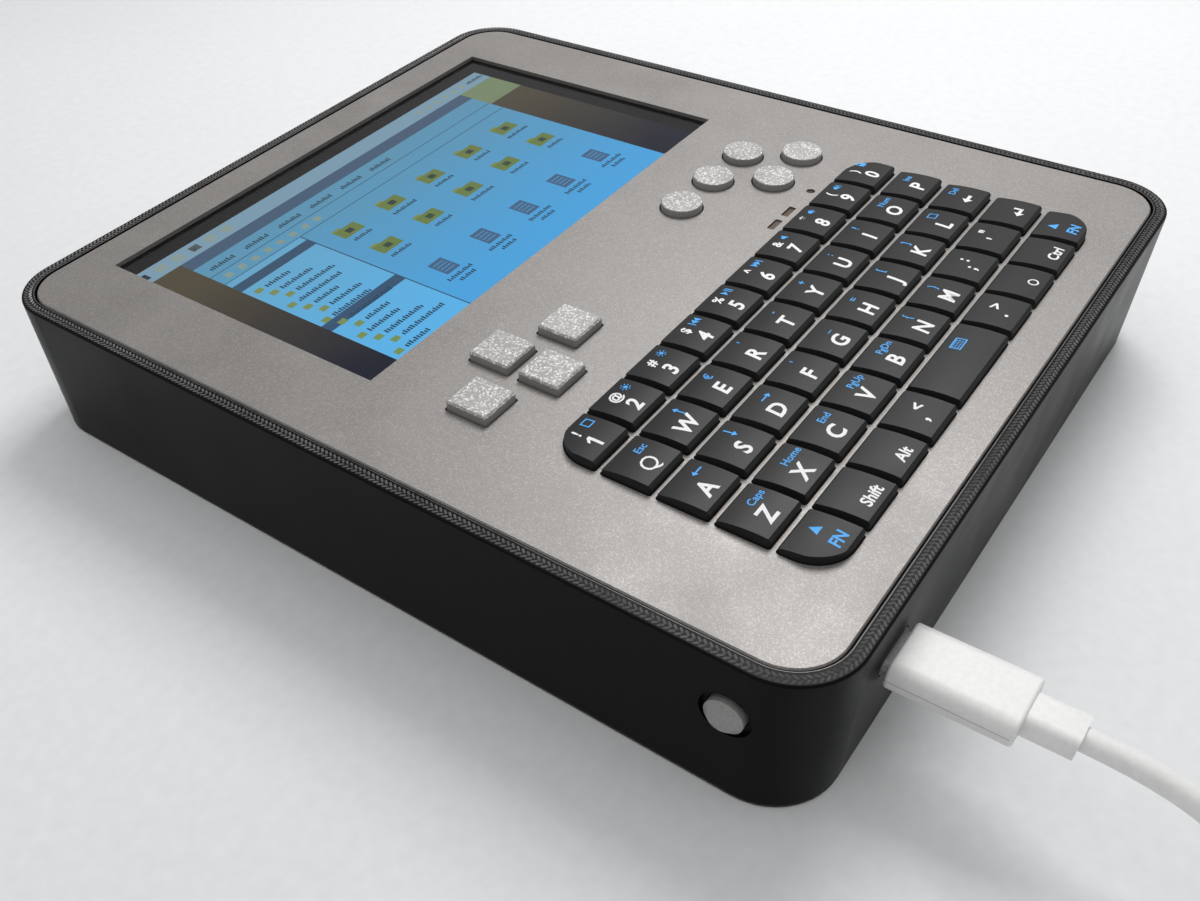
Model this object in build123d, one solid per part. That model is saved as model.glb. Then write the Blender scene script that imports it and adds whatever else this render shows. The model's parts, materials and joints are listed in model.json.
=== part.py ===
from build123d import *
import math
import os

# A slab-shaped handheld computer: a black case with a silver front panel let into its rim,
# a screen behind a window, direction and action buttons, a thumb keyboard, a power button
# in the left side and a charging lead plugged into the side nearest the user.
# Millimetres. +Z points out of the front panel, +X the way the legends read, +Y to the
# screen. The origin is the middle of the case's resting face.

# Case
CASE_LENGTH = 146.2
CASE_WIDTH = 167.6
CASE_HEIGHT = 27.9
CASE_CORNER = 11.1
WALL = 2.5
RIM_ROUND = 0.4
LEDGE_WIDTH = 0.9
LEDGE_HEIGHT = 1.4
POST_RADIUS = 3.5
POST_HEIGHT = 10.0
POST_INSET = 8.0
POST_RIB = 2.0
POST_CAP = 1.0
PANEL_LUG_SIDE = 6.0
PANEL_LUG_THICK = 3.0
PANEL_LUG_FAR_X = 45.0
PANEL_LUG_NEAR_X = 30.0
PANEL_LUG_DROP = 8.15
BOARD_LUG_SIDE = 9.0
BOARD_LUG_THICK = 4.5
BOARD_LUG_XS = (-12.0, 52.0)
BOARD_LUG_RISE = 11.9
FIT = 0.05
ROUND_END_TRIM = 0.01

# Bottom cover
COVER_FLANGE = 0.6
COVER_PLUG = 1.8
COVER_GAP = 0.2
COVER_CHAMFER = 0.3
VENT_LENGTH = 24.0
VENT_WIDTH = 2.0
VENT_PITCH = 5.0
VENT_COUNT = 6

# Front panel
PANEL_THICK = 2.0
PANEL_GAP = 0.3
PANEL_CHAMFER = 0.25
BOSS_RADIUS = 2.75
PANEL_BOSS_HEIGHT = 2.4
WINDOW_LENGTH = 108.7
WINDOW_LIP = 0.8
# From the panel's near edge to its far edge; the window fills what the rest leaves
NEAR_MARGIN = 6.675
KEYS_TO_LIGHTS = 2.025
KEYS_TO_BUTTONS = 15.025
BUTTONS_TO_WINDOW = 19.25
FAR_MARGIN = 8.3

# Screen
GLASS_LENGTH = 120.9
GLASS_X = -4.5
GLASS_LAP_NEAR = 8.55
GLASS_LAP_FAR = 2.05
GLASS_THICK = 0.7
GLASS_GAP = 0.2
CELL_THICK = 1.2
TRAY_DEPTH = 2.4
TRAY_WALL = 1.2
TRAY_GAP = 0.3
SPACER_HEIGHT = 3.8
SPACER_ACROSS = 4.5
DISPLAY_BOARD_LENGTH = 105.0
DISPLAY_BOARD_INSET = 4.95
DISPLAY_BOARD_CORNER = 2.0
BOARD_THICK = 1.6
BOARD_CORNER = 1.0
BOARD_HOLE_INSET = 4.0

# Direction buttons and round buttons
PAD_X = -37.1
BUTTON_ROW_HALF = 5.05
PAD_REACH = 12.2
PAD_SIDE = 8.0
PAD_CORNER = 0.4
PAD_RISE = 1.7
ROUND_X = 19.65
ROUND_PITCH = 11.95
ROUND_RADIUS = 4.0
ROUND_RISE = 1.4
BUTTON_GAP = 0.28
BUTTON_EDGE = 0.3
BUTTON_LIP = 0.4
BUTTON_LIP_THICK = 0.7
BUTTON_STEM = 2.4
BUTTON_TRAVEL = 0.4
PANEL_CLEAR = 0.1
STOP_CLEAR = 0.05
SWITCH_SIDE = 6.0
SWITCH_CORNER = 0.4
SWITCH_HEIGHT = 3.5
SWITCH_TIP_RADIUS = 1.75
SWITCH_TIP_HEIGHT = 0.8
BUTTON_BOARD_LENGTH = 121.0
BUTTON_BOARD_WIDTH = 21.6
BUTTON_BOARD_DROP = 6.3
BUTTON_BOSS_X = 57.5
BUTTON_BOSS_MARGIN = 0.5

# Keyboard
KEY_PITCH_X = 10.6
KEY_PITCH_Y = 9.63
KEY_WEB = 0.7
KEY_COLUMNS = 10
KEY_ROWS = 5
KEY_GAP = 0.2
KEY_RISE = 1.5
KEY_FAR_DROP = 0.6
KEY_NEAR_EDGE = 0.45
KEY_FAR_EDGE = 0.25
KEY_CROWN = 0.25
KEY_CROWN_Y = 0.25
KEY_BLANK = 8.0
KEY_SIDE_EDGE = 0.3
KEY_CORNER = 0.5
KEY_BLOCK_CORNER = 6.5
KEY_LIP = 0.15
KEY_LIP_THICK = 0.6
KEY_STEM = 5.0
KEY_TRAVEL = 1.0
MAT_THICK = 0.7
MAT_INSET = 1.1
DOME_HEIGHT = 0.5
DOME_RADIUS = 3.2
KEY_BOARD_DROP = 3.9
KEY_BOARD_THICK = 1.2
KEY_BOARD_LENGTH = 121.0
KEY_BOARD_WIDTH = 50.8
KEY_BOARD_RISE = 1.9
KEY_BOSS_X = 57.5
KEY_BOSS_Y = 20.0

# Light windows
SLOT_LENGTH = 3.8
SLOT_WIDTH = 1.4
SLOT_CORNER = 0.3
SLOT_XS = (23.4, 28.9)
DOT_X = 38.0
DOT_RADIUS = 0.85
PIPE_GAP = 0.12
PIPE_RECESS = 0.3
LED_LENGTH = 2.0
LED_WIDTH = 1.2
LED_HEIGHT = 0.6

# Power button
POWER_IN = 11.0
POWER_DROP = 10.3
POWER_RADIUS = 3.0
POWER_FACE_RADIUS = 2.05
POWER_PROUD = 1.2
POWER_BEVEL = 0.8
POWER_RECESS_RADIUS = 4.0
POWER_RECESS_DEPTH = 0.8
POWER_GAP = 0.2
POWER_LIP_RADIUS = 4.0
POWER_LIP_THICK = 1.0
POWER_LIP_CLEAR = 0.25
POWER_STEM_RADIUS = 1.5
POWER_SWITCH_SETBACK = 3.7
POWER_SWITCH_LENGTH = 3.5
POWER_SWITCH_WIDTH = 4.7
POWER_SWITCH_HEIGHT = 3.4
POWER_TIP_RADIUS = 0.8
POWER_TIP_LENGTH = 0.6

# Charging socket and plug
PORT_X = -50.6
PORT_DROP = 10.4
PORT_LENGTH = 8.9
PORT_WIDTH = 8.94
PORT_HEIGHT = 3.26
PORT_BORE_WIDTH = 8.34
PORT_BORE_HEIGHT = 2.56
PORT_BACK = 2.2
PORT_TONGUE_WIDTH = 6.6
PORT_TONGUE_THICK = 0.7
PORT_TONGUE_LENGTH = 4.5
PORT_HOLE_GAP = 0.3
PLUG_WIDTH = 8.25
PLUG_HEIGHT = 2.4
PLUG_REACH = 6.65
PLUG_WALL = 0.3
PLUG_BORE = 5.5
PLUG_STANDOFF = 0.9
MOULD_WIDTH = 10.9
MOULD_HEIGHT = 5.2
MOULD_CORNER = 2.0
MOULD_LENGTH = 17.6
MOULD_ROUND = 0.5
SLEEVE_WIDTH = 6.2
SLEEVE_HEIGHT = 4.2
SLEEVE_CORNER = 1.4
SLEEVE_LENGTH = 6.9

# Boards and their parts
MAIN_BOARD_SIDE_GAP = 2.1
MAIN_BOARD_EDGE_GAP = 0.4
MAIN_BOARD_WIDTH = 58.0
MODULE_LENGTH = 55.0
MODULE_WIDTH = 40.0
MODULE_THICK = 1.2
MODULE_X = 20.0
MODULE_RISE = 5.9
MODULE_CONNECTOR = 1.5
MODULE_CONNECTOR_LENGTH = 22.0
MODULE_CONNECTOR_INSET = 4.0
MODULE_CORNER = 3.0
CHIP_THICK = 1.0
CHIP_SIDE = 15.0
MEMORY_LENGTH = 10.0
MEMORY_WIDTH = 12.0
MEMORY_THICK = 0.8
MEMORY_X = 17.0
DISPLAY_CHIP = 14.0
DISPLAY_CHIP_PLACE = (-12.0, 6.0)
DRIVER_CHIP = 8.0
DRIVER_CHIP_PLACE = (22.0, -4.0)
SINK_LENGTH = 40.0
SINK_WIDTH = 36.0
SINK_BASE = 1.5
SINK_FIN_HEIGHT = 4.5
SINK_FIN_THICK = 1.0
SINK_FIN_COUNT = 9

CHARGER_CHIP = 6.0
CHARGER_CHIP_X = 13.0
CHARGER_COIL = 5.0
CHARGER_COIL_HEIGHT = 2.0
CHARGER_COIL_X = 20.5
CHARGER_DROP = 14.1
KEY_CHIP = 9.0
KEY_CHIP_X = 12.0
CONNECTOR_LENGTH = 16.0
CONNECTOR_DEPTH = 4.0
CONNECTOR_HEIGHT = 1.5
DISPLAY_CONNECTOR_X = -24.0
DISPLAY_CONNECTOR_INSET = 5.0
BUTTON_CONNECTOR_X = 12.0
KEY_CONNECTOR_X = -20.0
KEY_CONNECTOR_DROP = 9.3
CONNECTOR_INSET = 1.0
KEY_RIBBON_LOOP = 5.0
RIBBON_WIDTH = 14.0
RIBBON_THICK = 0.2
RIBBON_BEND = 1.2

# Battery
BATTERY_LENGTH = 100.0
BATTERY_WIDTH = 64.0
BATTERY_THICK = 8.0
BATTERY_FAR_GAP = 11.3
BATTERY_CORNER = 3.0
BATTERY_EDGE = 2.0
BATTERY_LEAD_X = -40.0
BATTERY_LEAD_RISE = 4.6
BATTERY_CONNECTOR_LENGTH = 8.0
BATTERY_CONNECTOR_WIDTH = 6.0
BATTERY_CONNECTOR_HEIGHT = 4.0
LEAD_WIRE_RADIUS = 0.7
LEAD_SPACING = 2.0

# Fasteners
SCREW_RADIUS = 1.25
SCREW_HEAD_RADIUS = 2.25
SCREW_HEAD_HEIGHT = 1.5
SCREW_SLOT_DEPTH = 0.7
SCREW_SLOT_RADIUS = 1.0
BOARD_SCREW_LENGTH = 5.0
PANEL_SCREW_LENGTH = 6.0
COVER_SCREW_LENGTH = 7.0
COVER_HEAD_RADIUS = 2.5
COVER_HEAD_DEPTH = 1.3
INSERT_RADIUS = 1.9
INSERT_LENGTH = 5.0

# Lead: bare points where it isn't coiled, in the order the current leaves the plug
CABLE_RADIUS = 1.75
BEND_SHARE = 0.45
LEAD_POINTS = [
    (-50.6, -119.5, 17.5),
    (-51.1, -131.5, 12.6),
    (-52.3, -143.5, 4.4),
    (-53.0, -155.0, 1.9),
    (-53.0, -166.0, 1.75),
]
COIL_MID_RADIUS = 20.0
COIL_COLUMNS = 3
COIL_LAYERS = 3
COIL_CORNER = 1.5
TIE_WIDTH = 6.0
TIE_THICK = 0.5
TIE_SIDE = 1.0
TAIL_LEVEL = 9.0
TAIL_DROP = 14.5
TAIL_END = 12.0
TAIL_SIDEWAYS = 1.0

# Places worked out from the sizes above
PANEL_TOP = CASE_HEIGHT
PANEL_BACK = PANEL_TOP - PANEL_THICK
INNER_LENGTH = CASE_LENGTH - 2 * WALL
INNER_WIDTH = CASE_WIDTH - 2 * WALL
INNER_CORNER = CASE_CORNER - WALL
PANEL_LENGTH = INNER_LENGTH - 2 * PANEL_GAP
PANEL_WIDTH = INNER_WIDTH - 2 * PANEL_GAP
COVER_TOP = COVER_FLANGE + COVER_PLUG
KEYS_WIDTH = KEY_ROWS * KEY_PITCH_Y - KEY_WEB
KEYS_Y = -PANEL_WIDTH / 2 + NEAR_MARGIN + KEYS_WIDTH / 2
KEYS_FAR = KEYS_Y + KEYS_WIDTH / 2
LIGHTS_Y = KEYS_FAR + KEYS_TO_LIGHTS
BUTTON_Y = KEYS_FAR + KEYS_TO_BUTTONS
WINDOW_NEAR = BUTTON_Y + BUTTONS_TO_WINDOW
WINDOW_FAR = PANEL_WIDTH / 2 - FAR_MARGIN
WINDOW_WIDTH = WINDOW_FAR - WINDOW_NEAR
WINDOW_Y = (WINDOW_NEAR + WINDOW_FAR) / 2
GLASS_WIDTH = WINDOW_WIDTH + GLASS_LAP_NEAR + GLASS_LAP_FAR
GLASS_Y = WINDOW_Y + (GLASS_LAP_FAR - GLASS_LAP_NEAR) / 2
DISPLAY_BOARD_WIDTH = GLASS_WIDTH - 2 * DISPLAY_BOARD_INSET
DISPLAY_CONNECTOR_OFFSET = DISPLAY_CONNECTOR_INSET - DISPLAY_BOARD_WIDTH / 2
KEY_BOARD_Y = KEYS_Y + KEY_BOARD_RISE
KEY_CONNECTOR_Y = KEY_BOARD_Y - KEY_CONNECTOR_DROP
POWER_Y = -INNER_WIDTH / 2 + POWER_IN
BATTERY_Y = INNER_WIDTH / 2 - BATTERY_FAR_GAP - BATTERY_WIDTH / 2
LUG_TOP = PANEL_BACK - PANEL_BOSS_HEIGHT
GLASS_TOP = PANEL_TOP - WINDOW_LIP
CELL_TOP = GLASS_TOP - GLASS_THICK
CELL_BACK = CELL_TOP - CELL_THICK
TRAY_BACK = CELL_BACK - TRAY_DEPTH
DISPLAY_BOARD_TOP = TRAY_BACK - SPACER_HEIGHT
BUTTON_BOARD_TOP = PANEL_BACK - BUTTON_BOARD_DROP
KEY_BOARD_TOP = PANEL_BACK - KEY_BOARD_DROP
PORT_Z = PANEL_TOP - PORT_DROP
POWER_Z = PANEL_TOP - POWER_DROP
MAIN_BOARD_TOP = PORT_Z - PORT_HEIGHT / 2
MAIN_BOARD_BACK = MAIN_BOARD_TOP - BOARD_THICK
MAIN_BOARD_LENGTH = INNER_LENGTH - 2 * MAIN_BOARD_SIDE_GAP
MAIN_BOARD_Y = -INNER_WIDTH / 2 + MAIN_BOARD_EDGE_GAP + MAIN_BOARD_WIDTH / 2
MODULE_Y = MAIN_BOARD_Y + MODULE_RISE
CHARGER_Y = MAIN_BOARD_Y - CHARGER_DROP
MODULE_TOP = MAIN_BOARD_BACK - MODULE_CONNECTOR
SINK_TOP = MODULE_TOP - MODULE_THICK - CHIP_THICK
BUTTON_TOP_ROW = BUTTON_Y + BUTTON_ROW_HALF
BUTTON_LOW_ROW = BUTTON_Y - BUTTON_ROW_HALF
MOULD_FACE = -CASE_WIDTH / 2 - PLUG_STANDOFF
MOULD_END = MOULD_FACE - MOULD_LENGTH
SLEEVE_END = MOULD_END - SLEEVE_LENGTH
COIL_WIDTH = 2 * CABLE_RADIUS * COIL_COLUMNS
COIL_HEIGHT = 2 * CABLE_RADIUS * COIL_LAYERS
OUTER_TURN = COIL_MID_RADIUS + (COIL_COLUMNS - 1) * CABLE_RADIUS
COIL_X = LEAD_POINTS[-1][0] + OUTER_TURN
COIL_Y = LEAD_POINTS[-1][1]
TAIL_Y = COIL_Y - OUTER_TURN
TAIL_TOP = COIL_HEIGHT - CABLE_RADIUS
TAIL_POINTS = [
    (COIL_X, TAIL_Y, TAIL_TOP),
    (COIL_X + TAIL_LEVEL, TAIL_Y, TAIL_TOP),
    (COIL_X + TAIL_LEVEL + TAIL_DROP, TAIL_Y - TAIL_SIDEWAYS, MOULD_HEIGHT / 2),
    (COIL_X + TAIL_LEVEL + TAIL_DROP + TAIL_END, TAIL_Y - TAIL_SIDEWAYS, MOULD_HEIGHT / 2),
]
MAIN_BOARD_FAR = MAIN_BOARD_Y + MAIN_BOARD_WIDTH / 2
MAIN_CONNECTOR_Y = MAIN_BOARD_FAR - CONNECTOR_DEPTH / 2 - CONNECTOR_INSET
BATTERY_CONNECTOR_Y = MAIN_BOARD_FAR - BATTERY_CONNECTOR_WIDTH / 2 - CONNECTOR_INSET

PAD_PLACES = {
    "pad_up": (PAD_X, BUTTON_TOP_ROW),
    "pad_down": (PAD_X, BUTTON_LOW_ROW),
    "pad_left": (PAD_X - PAD_REACH, BUTTON_Y),
    "pad_right": (PAD_X + PAD_REACH, BUTTON_Y),
}
ROUND_PLACES = {
    "round_button_1": (ROUND_X, BUTTON_TOP_ROW),
    "round_button_2": (ROUND_X + ROUND_PITCH, BUTTON_TOP_ROW),
    "round_button_3": (ROUND_X + 2 * ROUND_PITCH, BUTTON_TOP_ROW),
    "round_button_4": (ROUND_X + 1.5 * ROUND_PITCH, BUTTON_LOW_ROW),
    "round_button_5": (ROUND_X + 2.5 * ROUND_PITCH, BUTTON_LOW_ROW),
}
# Each key is (row, first column, columns wide); row 0 is nearest the screen.
KEY_GROUPS = {
    "number_keys": [(0, column, 1) for column in range(KEY_COLUMNS)],
    "upper_letter_keys": [(1, column, 1) for column in range(KEY_COLUMNS)],
    "middle_letter_keys": [(2, column, 1) for column in range(KEY_COLUMNS - 1)],
    "lower_letter_keys": [(3, column, 1) for column in range(KEY_COLUMNS - 1)],
    "backspace_key": [(2, 9, 1)],
    "enter_key": [(3, 9, 1)],
    "left_fn_key": [(4, 0, 1)],
    "shift_key": [(4, 1, 1)],
    "alt_key": [(4, 2, 1)],
    "comma_key": [(4, 3, 1)],
    "space_key": [(4, 4, 2)],
    "stop_key": [(4, 6, 1)],
    "system_key": [(4, 7, 1)],
    "control_key": [(4, 8, 1)],
    "right_fn_key": [(4, 9, 1)],
}
ALL_KEYS = [key for keys in KEY_GROUPS.values() for key in keys]

POST_PLACES = [
    (sx * (INNER_LENGTH / 2 - POST_INSET), sy * (INNER_WIDTH / 2 - POST_INSET))
    for sx in (-1, 1)
    for sy in (-1, 1)
]
# Lugs are square blocks on the walls, each with its screw in the middle.
PANEL_LUG_X = INNER_LENGTH / 2 - PANEL_LUG_SIDE / 2
PANEL_LUG_Y = INNER_WIDTH / 2 - PANEL_LUG_SIDE / 2
PANEL_LUGS = [
    (-PANEL_LUG_FAR_X, PANEL_LUG_Y),
    (PANEL_LUG_FAR_X, PANEL_LUG_Y),
    (-PANEL_LUG_NEAR_X, -PANEL_LUG_Y),
    (PANEL_LUG_NEAR_X, -PANEL_LUG_Y),
    (-PANEL_LUG_X, BUTTON_Y - PANEL_LUG_DROP),
    (PANEL_LUG_X, BUTTON_Y - PANEL_LUG_DROP),
]
BOARD_LUG_X = INNER_LENGTH / 2 - BOARD_LUG_SIDE / 2
BOARD_LUG_Y = INNER_WIDTH / 2 - BOARD_LUG_SIDE / 2
BOARD_LUGS = [
    (BOARD_LUG_XS[0], -BOARD_LUG_Y),
    (BOARD_LUG_XS[1], -BOARD_LUG_Y),
    (-BOARD_LUG_X, MAIN_BOARD_Y + BOARD_LUG_RISE),
    (BOARD_LUG_X, MAIN_BOARD_Y + BOARD_LUG_RISE),
]
BUTTON_BOSS_HALF = BUTTON_BOARD_WIDTH / 2 - BOSS_RADIUS - BUTTON_BOSS_MARGIN
BUTTON_BOSSES = [
    (sx * BUTTON_BOSS_X, BUTTON_Y + sy * BUTTON_BOSS_HALF) for sx in (-1, 1) for sy in (-1, 1)
]
KEY_BOSSES = [
    (sx * KEY_BOSS_X, KEY_BOARD_Y + sy * KEY_BOSS_Y) for sx in (-1, 1) for sy in (-1, 1)
]
DISPLAY_SPACERS = [
    (
        GLASS_X + sx * (DISPLAY_BOARD_LENGTH / 2 - BOARD_HOLE_INSET),
        GLASS_Y + sy * (DISPLAY_BOARD_WIDTH / 2 - BOARD_HOLE_INSET),
    )
    for sx in (-1, 1)
    for sy in (-1, 1)
]


# Basic shapes
def slab(length, width, corner, low, high, x=0.0, y=0.0):
    """A flat plate with rounded corners between two heights."""
    outline = RectangleRounded(length, width, corner) if corner else Rectangle(length, width)
    return Pos(x, y, low) * extrude(outline, high - low)


def rod(radius, low, high, x=0.0, y=0.0):
    """An upright cylinder between two heights."""
    return Pos(x, y, (low + high) / 2) * Cylinder(radius, high - low)


def bar_along_y(width, height, corner, near, far, x, z):
    """A bar with rounded edges, its section upright, from y = near down to y = far."""
    section = RectangleRounded(width, height, corner)
    return Pos(x, near, z) * Rot(90, 0, 0) * extrude(section, near - far)


def rod_along_x(radius, start, end, y, z):
    """A cylinder lying along X."""
    return Pos((start + end) / 2, y, z) * Rot(0, 90, 0) * Cylinder(radius, abs(end - start))


def pan_screw(x, y, seat, length):
    """A screw put in from below: head under the height seat, shank above it."""
    head = rod(SCREW_HEAD_RADIUS, seat - SCREW_HEAD_HEIGHT, seat, x, y)
    recess_top = seat - SCREW_HEAD_HEIGHT + SCREW_SLOT_DEPTH
    recess = rod(SCREW_SLOT_RADIUS, seat - SCREW_HEAD_HEIGHT, recess_top, x, y)
    return head - recess + rod(SCREW_RADIUS, seat, seat + length, x, y)


def screw_bore(x, y, seat, length):
    """The hole that a screw's shank fills, with its clearance."""
    return rod(SCREW_RADIUS + FIT, seat, seat + length + STOP_CLEAR, x, y)


def spread(shape, places):
    """Copies of a shape made at the origin, one at each place."""
    return [Pos(x, y, 0) * shape for x, y in places]


# Case
def lug(x, y, side, low, high):
    """A block that joins the nearest wall, carrying one screw at x, y."""
    return slab(side, side, 0, low, high, x, y)


def case_shell():
    """Four walls with a rim round the panel, a ledge under it, posts and lugs."""
    body = slab(CASE_LENGTH, CASE_WIDTH, CASE_CORNER, COVER_FLANGE, CASE_HEIGHT)
    top_edges = body.faces().sort_by(Axis.Z)[-1].edges()
    body = fillet(top_edges, RIM_ROUND)
    body -= slab(INNER_LENGTH, INNER_WIDTH, INNER_CORNER, COVER_FLANGE, CASE_HEIGHT)
    ledge = slab(INNER_LENGTH, INNER_WIDTH, INNER_CORNER, PANEL_BACK - LEDGE_HEIGHT, PANEL_BACK)
    ledge -= slab(
        INNER_LENGTH - 2 * LEDGE_WIDTH,
        INNER_WIDTH - 2 * LEDGE_WIDTH,
        INNER_CORNER - LEDGE_WIDTH,
        PANEL_BACK - LEDGE_HEIGHT,
        PANEL_BACK,
    )
    body += ledge
    for x, y in PANEL_LUGS:
        body += lug(x, y, PANEL_LUG_SIDE, LUG_TOP - PANEL_LUG_THICK, LUG_TOP)
        body -= rod(BOSS_RADIUS + FIT, LUG_TOP, PANEL_BACK, x, y)
        body -= rod(SCREW_RADIUS + FIT, LUG_TOP - PANEL_LUG_THICK, LUG_TOP, x, y)
    for x, y in BOARD_LUGS:
        body += lug(x, y, BOARD_LUG_SIDE, MAIN_BOARD_TOP, MAIN_BOARD_TOP + BOARD_LUG_THICK)
        body -= screw_bore(x, y, MAIN_BOARD_BACK, BOARD_SCREW_LENGTH)
    for x, y in POST_PLACES:
        body += post(x, y)
    body -= power_opening()
    body -= port_opening()
    return body


def post(x, y):
    """A corner post with a rib to each wall and a bore for a threaded insert."""
    high = COVER_TOP + POST_HEIGHT
    column = rod(POST_RADIUS, COVER_TOP, high, x, y)
    reach = POST_INSET
    to_side = slab(reach, POST_RIB, 0, COVER_TOP, high, x + math.copysign(reach / 2, x), y)
    to_end = slab(POST_RIB, reach, 0, COVER_TOP, high, x, y + math.copysign(reach / 2, y))
    walls = slab(INNER_LENGTH, INNER_WIDTH, INNER_CORNER, COVER_TOP, high)
    bore = rod(INSERT_RADIUS + FIT, COVER_TOP, COVER_TOP + INSERT_LENGTH, x, y)
    bore += rod(SCREW_RADIUS + FIT, COVER_TOP, high - POST_CAP, x, y)
    return (column + to_side + to_end) & walls - bore


def power_opening():
    """The round recess in the left wall and the hole through it."""
    outside = -CASE_LENGTH / 2
    recess = rod_along_x(POWER_RECESS_RADIUS, outside, outside + POWER_RECESS_DEPTH, POWER_Y, POWER_Z)
    hole = rod_along_x(POWER_RADIUS + POWER_GAP, outside, outside + WALL, POWER_Y, POWER_Z)
    return recess + hole


def port_opening():
    """The slot in the near wall that the charging socket comes through."""
    width = PORT_WIDTH + 2 * PORT_HOLE_GAP
    height = PORT_HEIGHT + 2 * PORT_HOLE_GAP
    near = -CASE_WIDTH / 2 + WALL
    return bar_along_y(width, height, height / 2 - ROUND_END_TRIM, near, -CASE_WIDTH / 2, PORT_X, PORT_Z)


def bottom_cover():
    """A thin flange as large as the case, and a plate that drops between the walls."""
    flange = slab(CASE_LENGTH, CASE_WIDTH, CASE_CORNER, 0, COVER_FLANGE)
    flange = chamfer(flange.faces().sort_by(Axis.Z)[0].edges(), COVER_CHAMFER)
    plate = slab(
        INNER_LENGTH - 2 * COVER_GAP,
        INNER_WIDTH - 2 * COVER_GAP,
        INNER_CORNER - COVER_GAP,
        COVER_FLANGE,
        COVER_TOP,
    )
    cover = flange + plate
    for x, y in POST_PLACES:
        cover -= rod(SCREW_RADIUS + FIT, 0, COVER_TOP, x, y)
        cover -= cover_head(x, y, FIT)
    first = MODULE_X - VENT_PITCH * (VENT_COUNT - 1) / 2
    for number in range(VENT_COUNT):
        x = first + number * VENT_PITCH
        cover -= slab(VENT_WIDTH, VENT_LENGTH, VENT_WIDTH / 2 - ROUND_END_TRIM, 0, COVER_TOP, x, MODULE_Y)
    return cover


def cover_head(x, y, gap=0.0):
    """The countersunk cone of a cover screw, its wide end at the resting face."""
    small = SCREW_RADIUS + gap
    large = COVER_HEAD_RADIUS + gap
    return Pos(x, y, COVER_HEAD_DEPTH / 2) * Cone(large, small, COVER_HEAD_DEPTH)


def cover_screws():
    """Countersunk screws through the cover into the inserts."""
    screw = cover_head(0, 0) + rod(SCREW_RADIUS, COVER_HEAD_DEPTH, COVER_SCREW_LENGTH)
    screw -= rod(SCREW_SLOT_RADIUS, 0, SCREW_SLOT_DEPTH)
    return spread(screw, POST_PLACES)


def cover_inserts():
    """Threaded brass inserts in the corner posts."""
    insert = rod(INSERT_RADIUS, COVER_TOP, COVER_TOP + INSERT_LENGTH)
    insert -= rod(SCREW_RADIUS + FIT, COVER_TOP, COVER_TOP + INSERT_LENGTH)
    return spread(insert, POST_PLACES)


# Front panel
def key_centre(row, column, columns):
    """Middle of a key's window."""
    x = (column + columns / 2 - KEY_COLUMNS / 2) * KEY_PITCH_X
    y = KEYS_Y + ((KEY_ROWS - 1) / 2 - row) * KEY_PITCH_Y
    return x, y


def key_outline(row, column, columns, grow, corner):
    """Plan of a key or its window, grown all round, with the block's large corner if it
    is one of the four at the block's corners."""
    x, y = key_centre(row, column, columns)
    length = columns * KEY_PITCH_X - KEY_WEB + 2 * grow
    width = KEY_PITCH_Y - KEY_WEB + 2 * grow
    outline = Pos(x, y) * RectangleRounded(length, width, corner)
    end_column = column + columns == KEY_COLUMNS
    if row in (0, KEY_ROWS - 1) and (column == 0 or end_column):
        block_length = KEY_COLUMNS * KEY_PITCH_X - KEY_WEB + 2 * grow
        block_width = KEY_ROWS * KEY_PITCH_Y - KEY_WEB + 2 * grow
        block = RectangleRounded(block_length, block_width, KEY_BLOCK_CORNER + grow)
        outline = outline & Pos(0, KEYS_Y) * block
    return outline


def front_panel():
    """The inset plate: screen window, button and key windows, light windows, bosses."""
    corner = INNER_CORNER - PANEL_GAP
    plate = slab(PANEL_LENGTH, PANEL_WIDTH, corner, PANEL_BACK, PANEL_TOP)
    plate = chamfer(plate.faces().sort_by(Axis.Z)[-1].edges(), PANEL_CHAMFER)
    for x, y in PANEL_LUGS:
        plate += rod(BOSS_RADIUS, LUG_TOP, PANEL_BACK, x, y)
        plate -= screw_bore(x, y, LUG_TOP - PANEL_LUG_THICK, PANEL_SCREW_LENGTH)
    for x, y in BUTTON_BOSSES:
        plate += rod(BOSS_RADIUS, BUTTON_BOARD_TOP, PANEL_BACK, x, y)
        plate -= screw_bore(x, y, BUTTON_BOARD_TOP - BOARD_THICK, BOARD_SCREW_LENGTH)
    for x, y in KEY_BOSSES:
        plate += rod(BOSS_RADIUS, KEY_BOARD_TOP, PANEL_BACK, x, y)
        plate -= screw_bore(x, y, KEY_BOARD_TOP - KEY_BOARD_THICK, BOARD_SCREW_LENGTH)
    plate -= slab(WINDOW_LENGTH, WINDOW_WIDTH, 0, PANEL_BACK, PANEL_TOP, 0, WINDOW_Y)
    plate -= slab(
        GLASS_LENGTH + 2 * GLASS_GAP,
        GLASS_WIDTH + 2 * GLASS_GAP,
        0,
        PANEL_BACK,
        GLASS_TOP,
        GLASS_X,
        GLASS_Y,
    )
    openings = []
    for row, column, columns in ALL_KEYS:
        openings.append(key_outline(row, column, columns, 0.0, KEY_CORNER))
    for x, y in PAD_PLACES.values():
        side = PAD_SIDE + 2 * BUTTON_GAP
        openings.append(Pos(x, y) * RectangleRounded(side, side, KEY_CORNER))
    for x, y in ROUND_PLACES.values():
        openings.append(Pos(x, y) * Circle(ROUND_RADIUS + BUTTON_GAP))
    for x in SLOT_XS:
        openings.append(Pos(x, LIGHTS_Y) * RectangleRounded(SLOT_LENGTH, SLOT_WIDTH, SLOT_CORNER))
    openings.append(Pos(DOT_X, LIGHTS_Y) * Circle(DOT_RADIUS))
    cutters = [Pos(0, 0, PANEL_BACK) * extrude(shape, PANEL_THICK) for shape in openings]
    return plate - cutters


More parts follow.
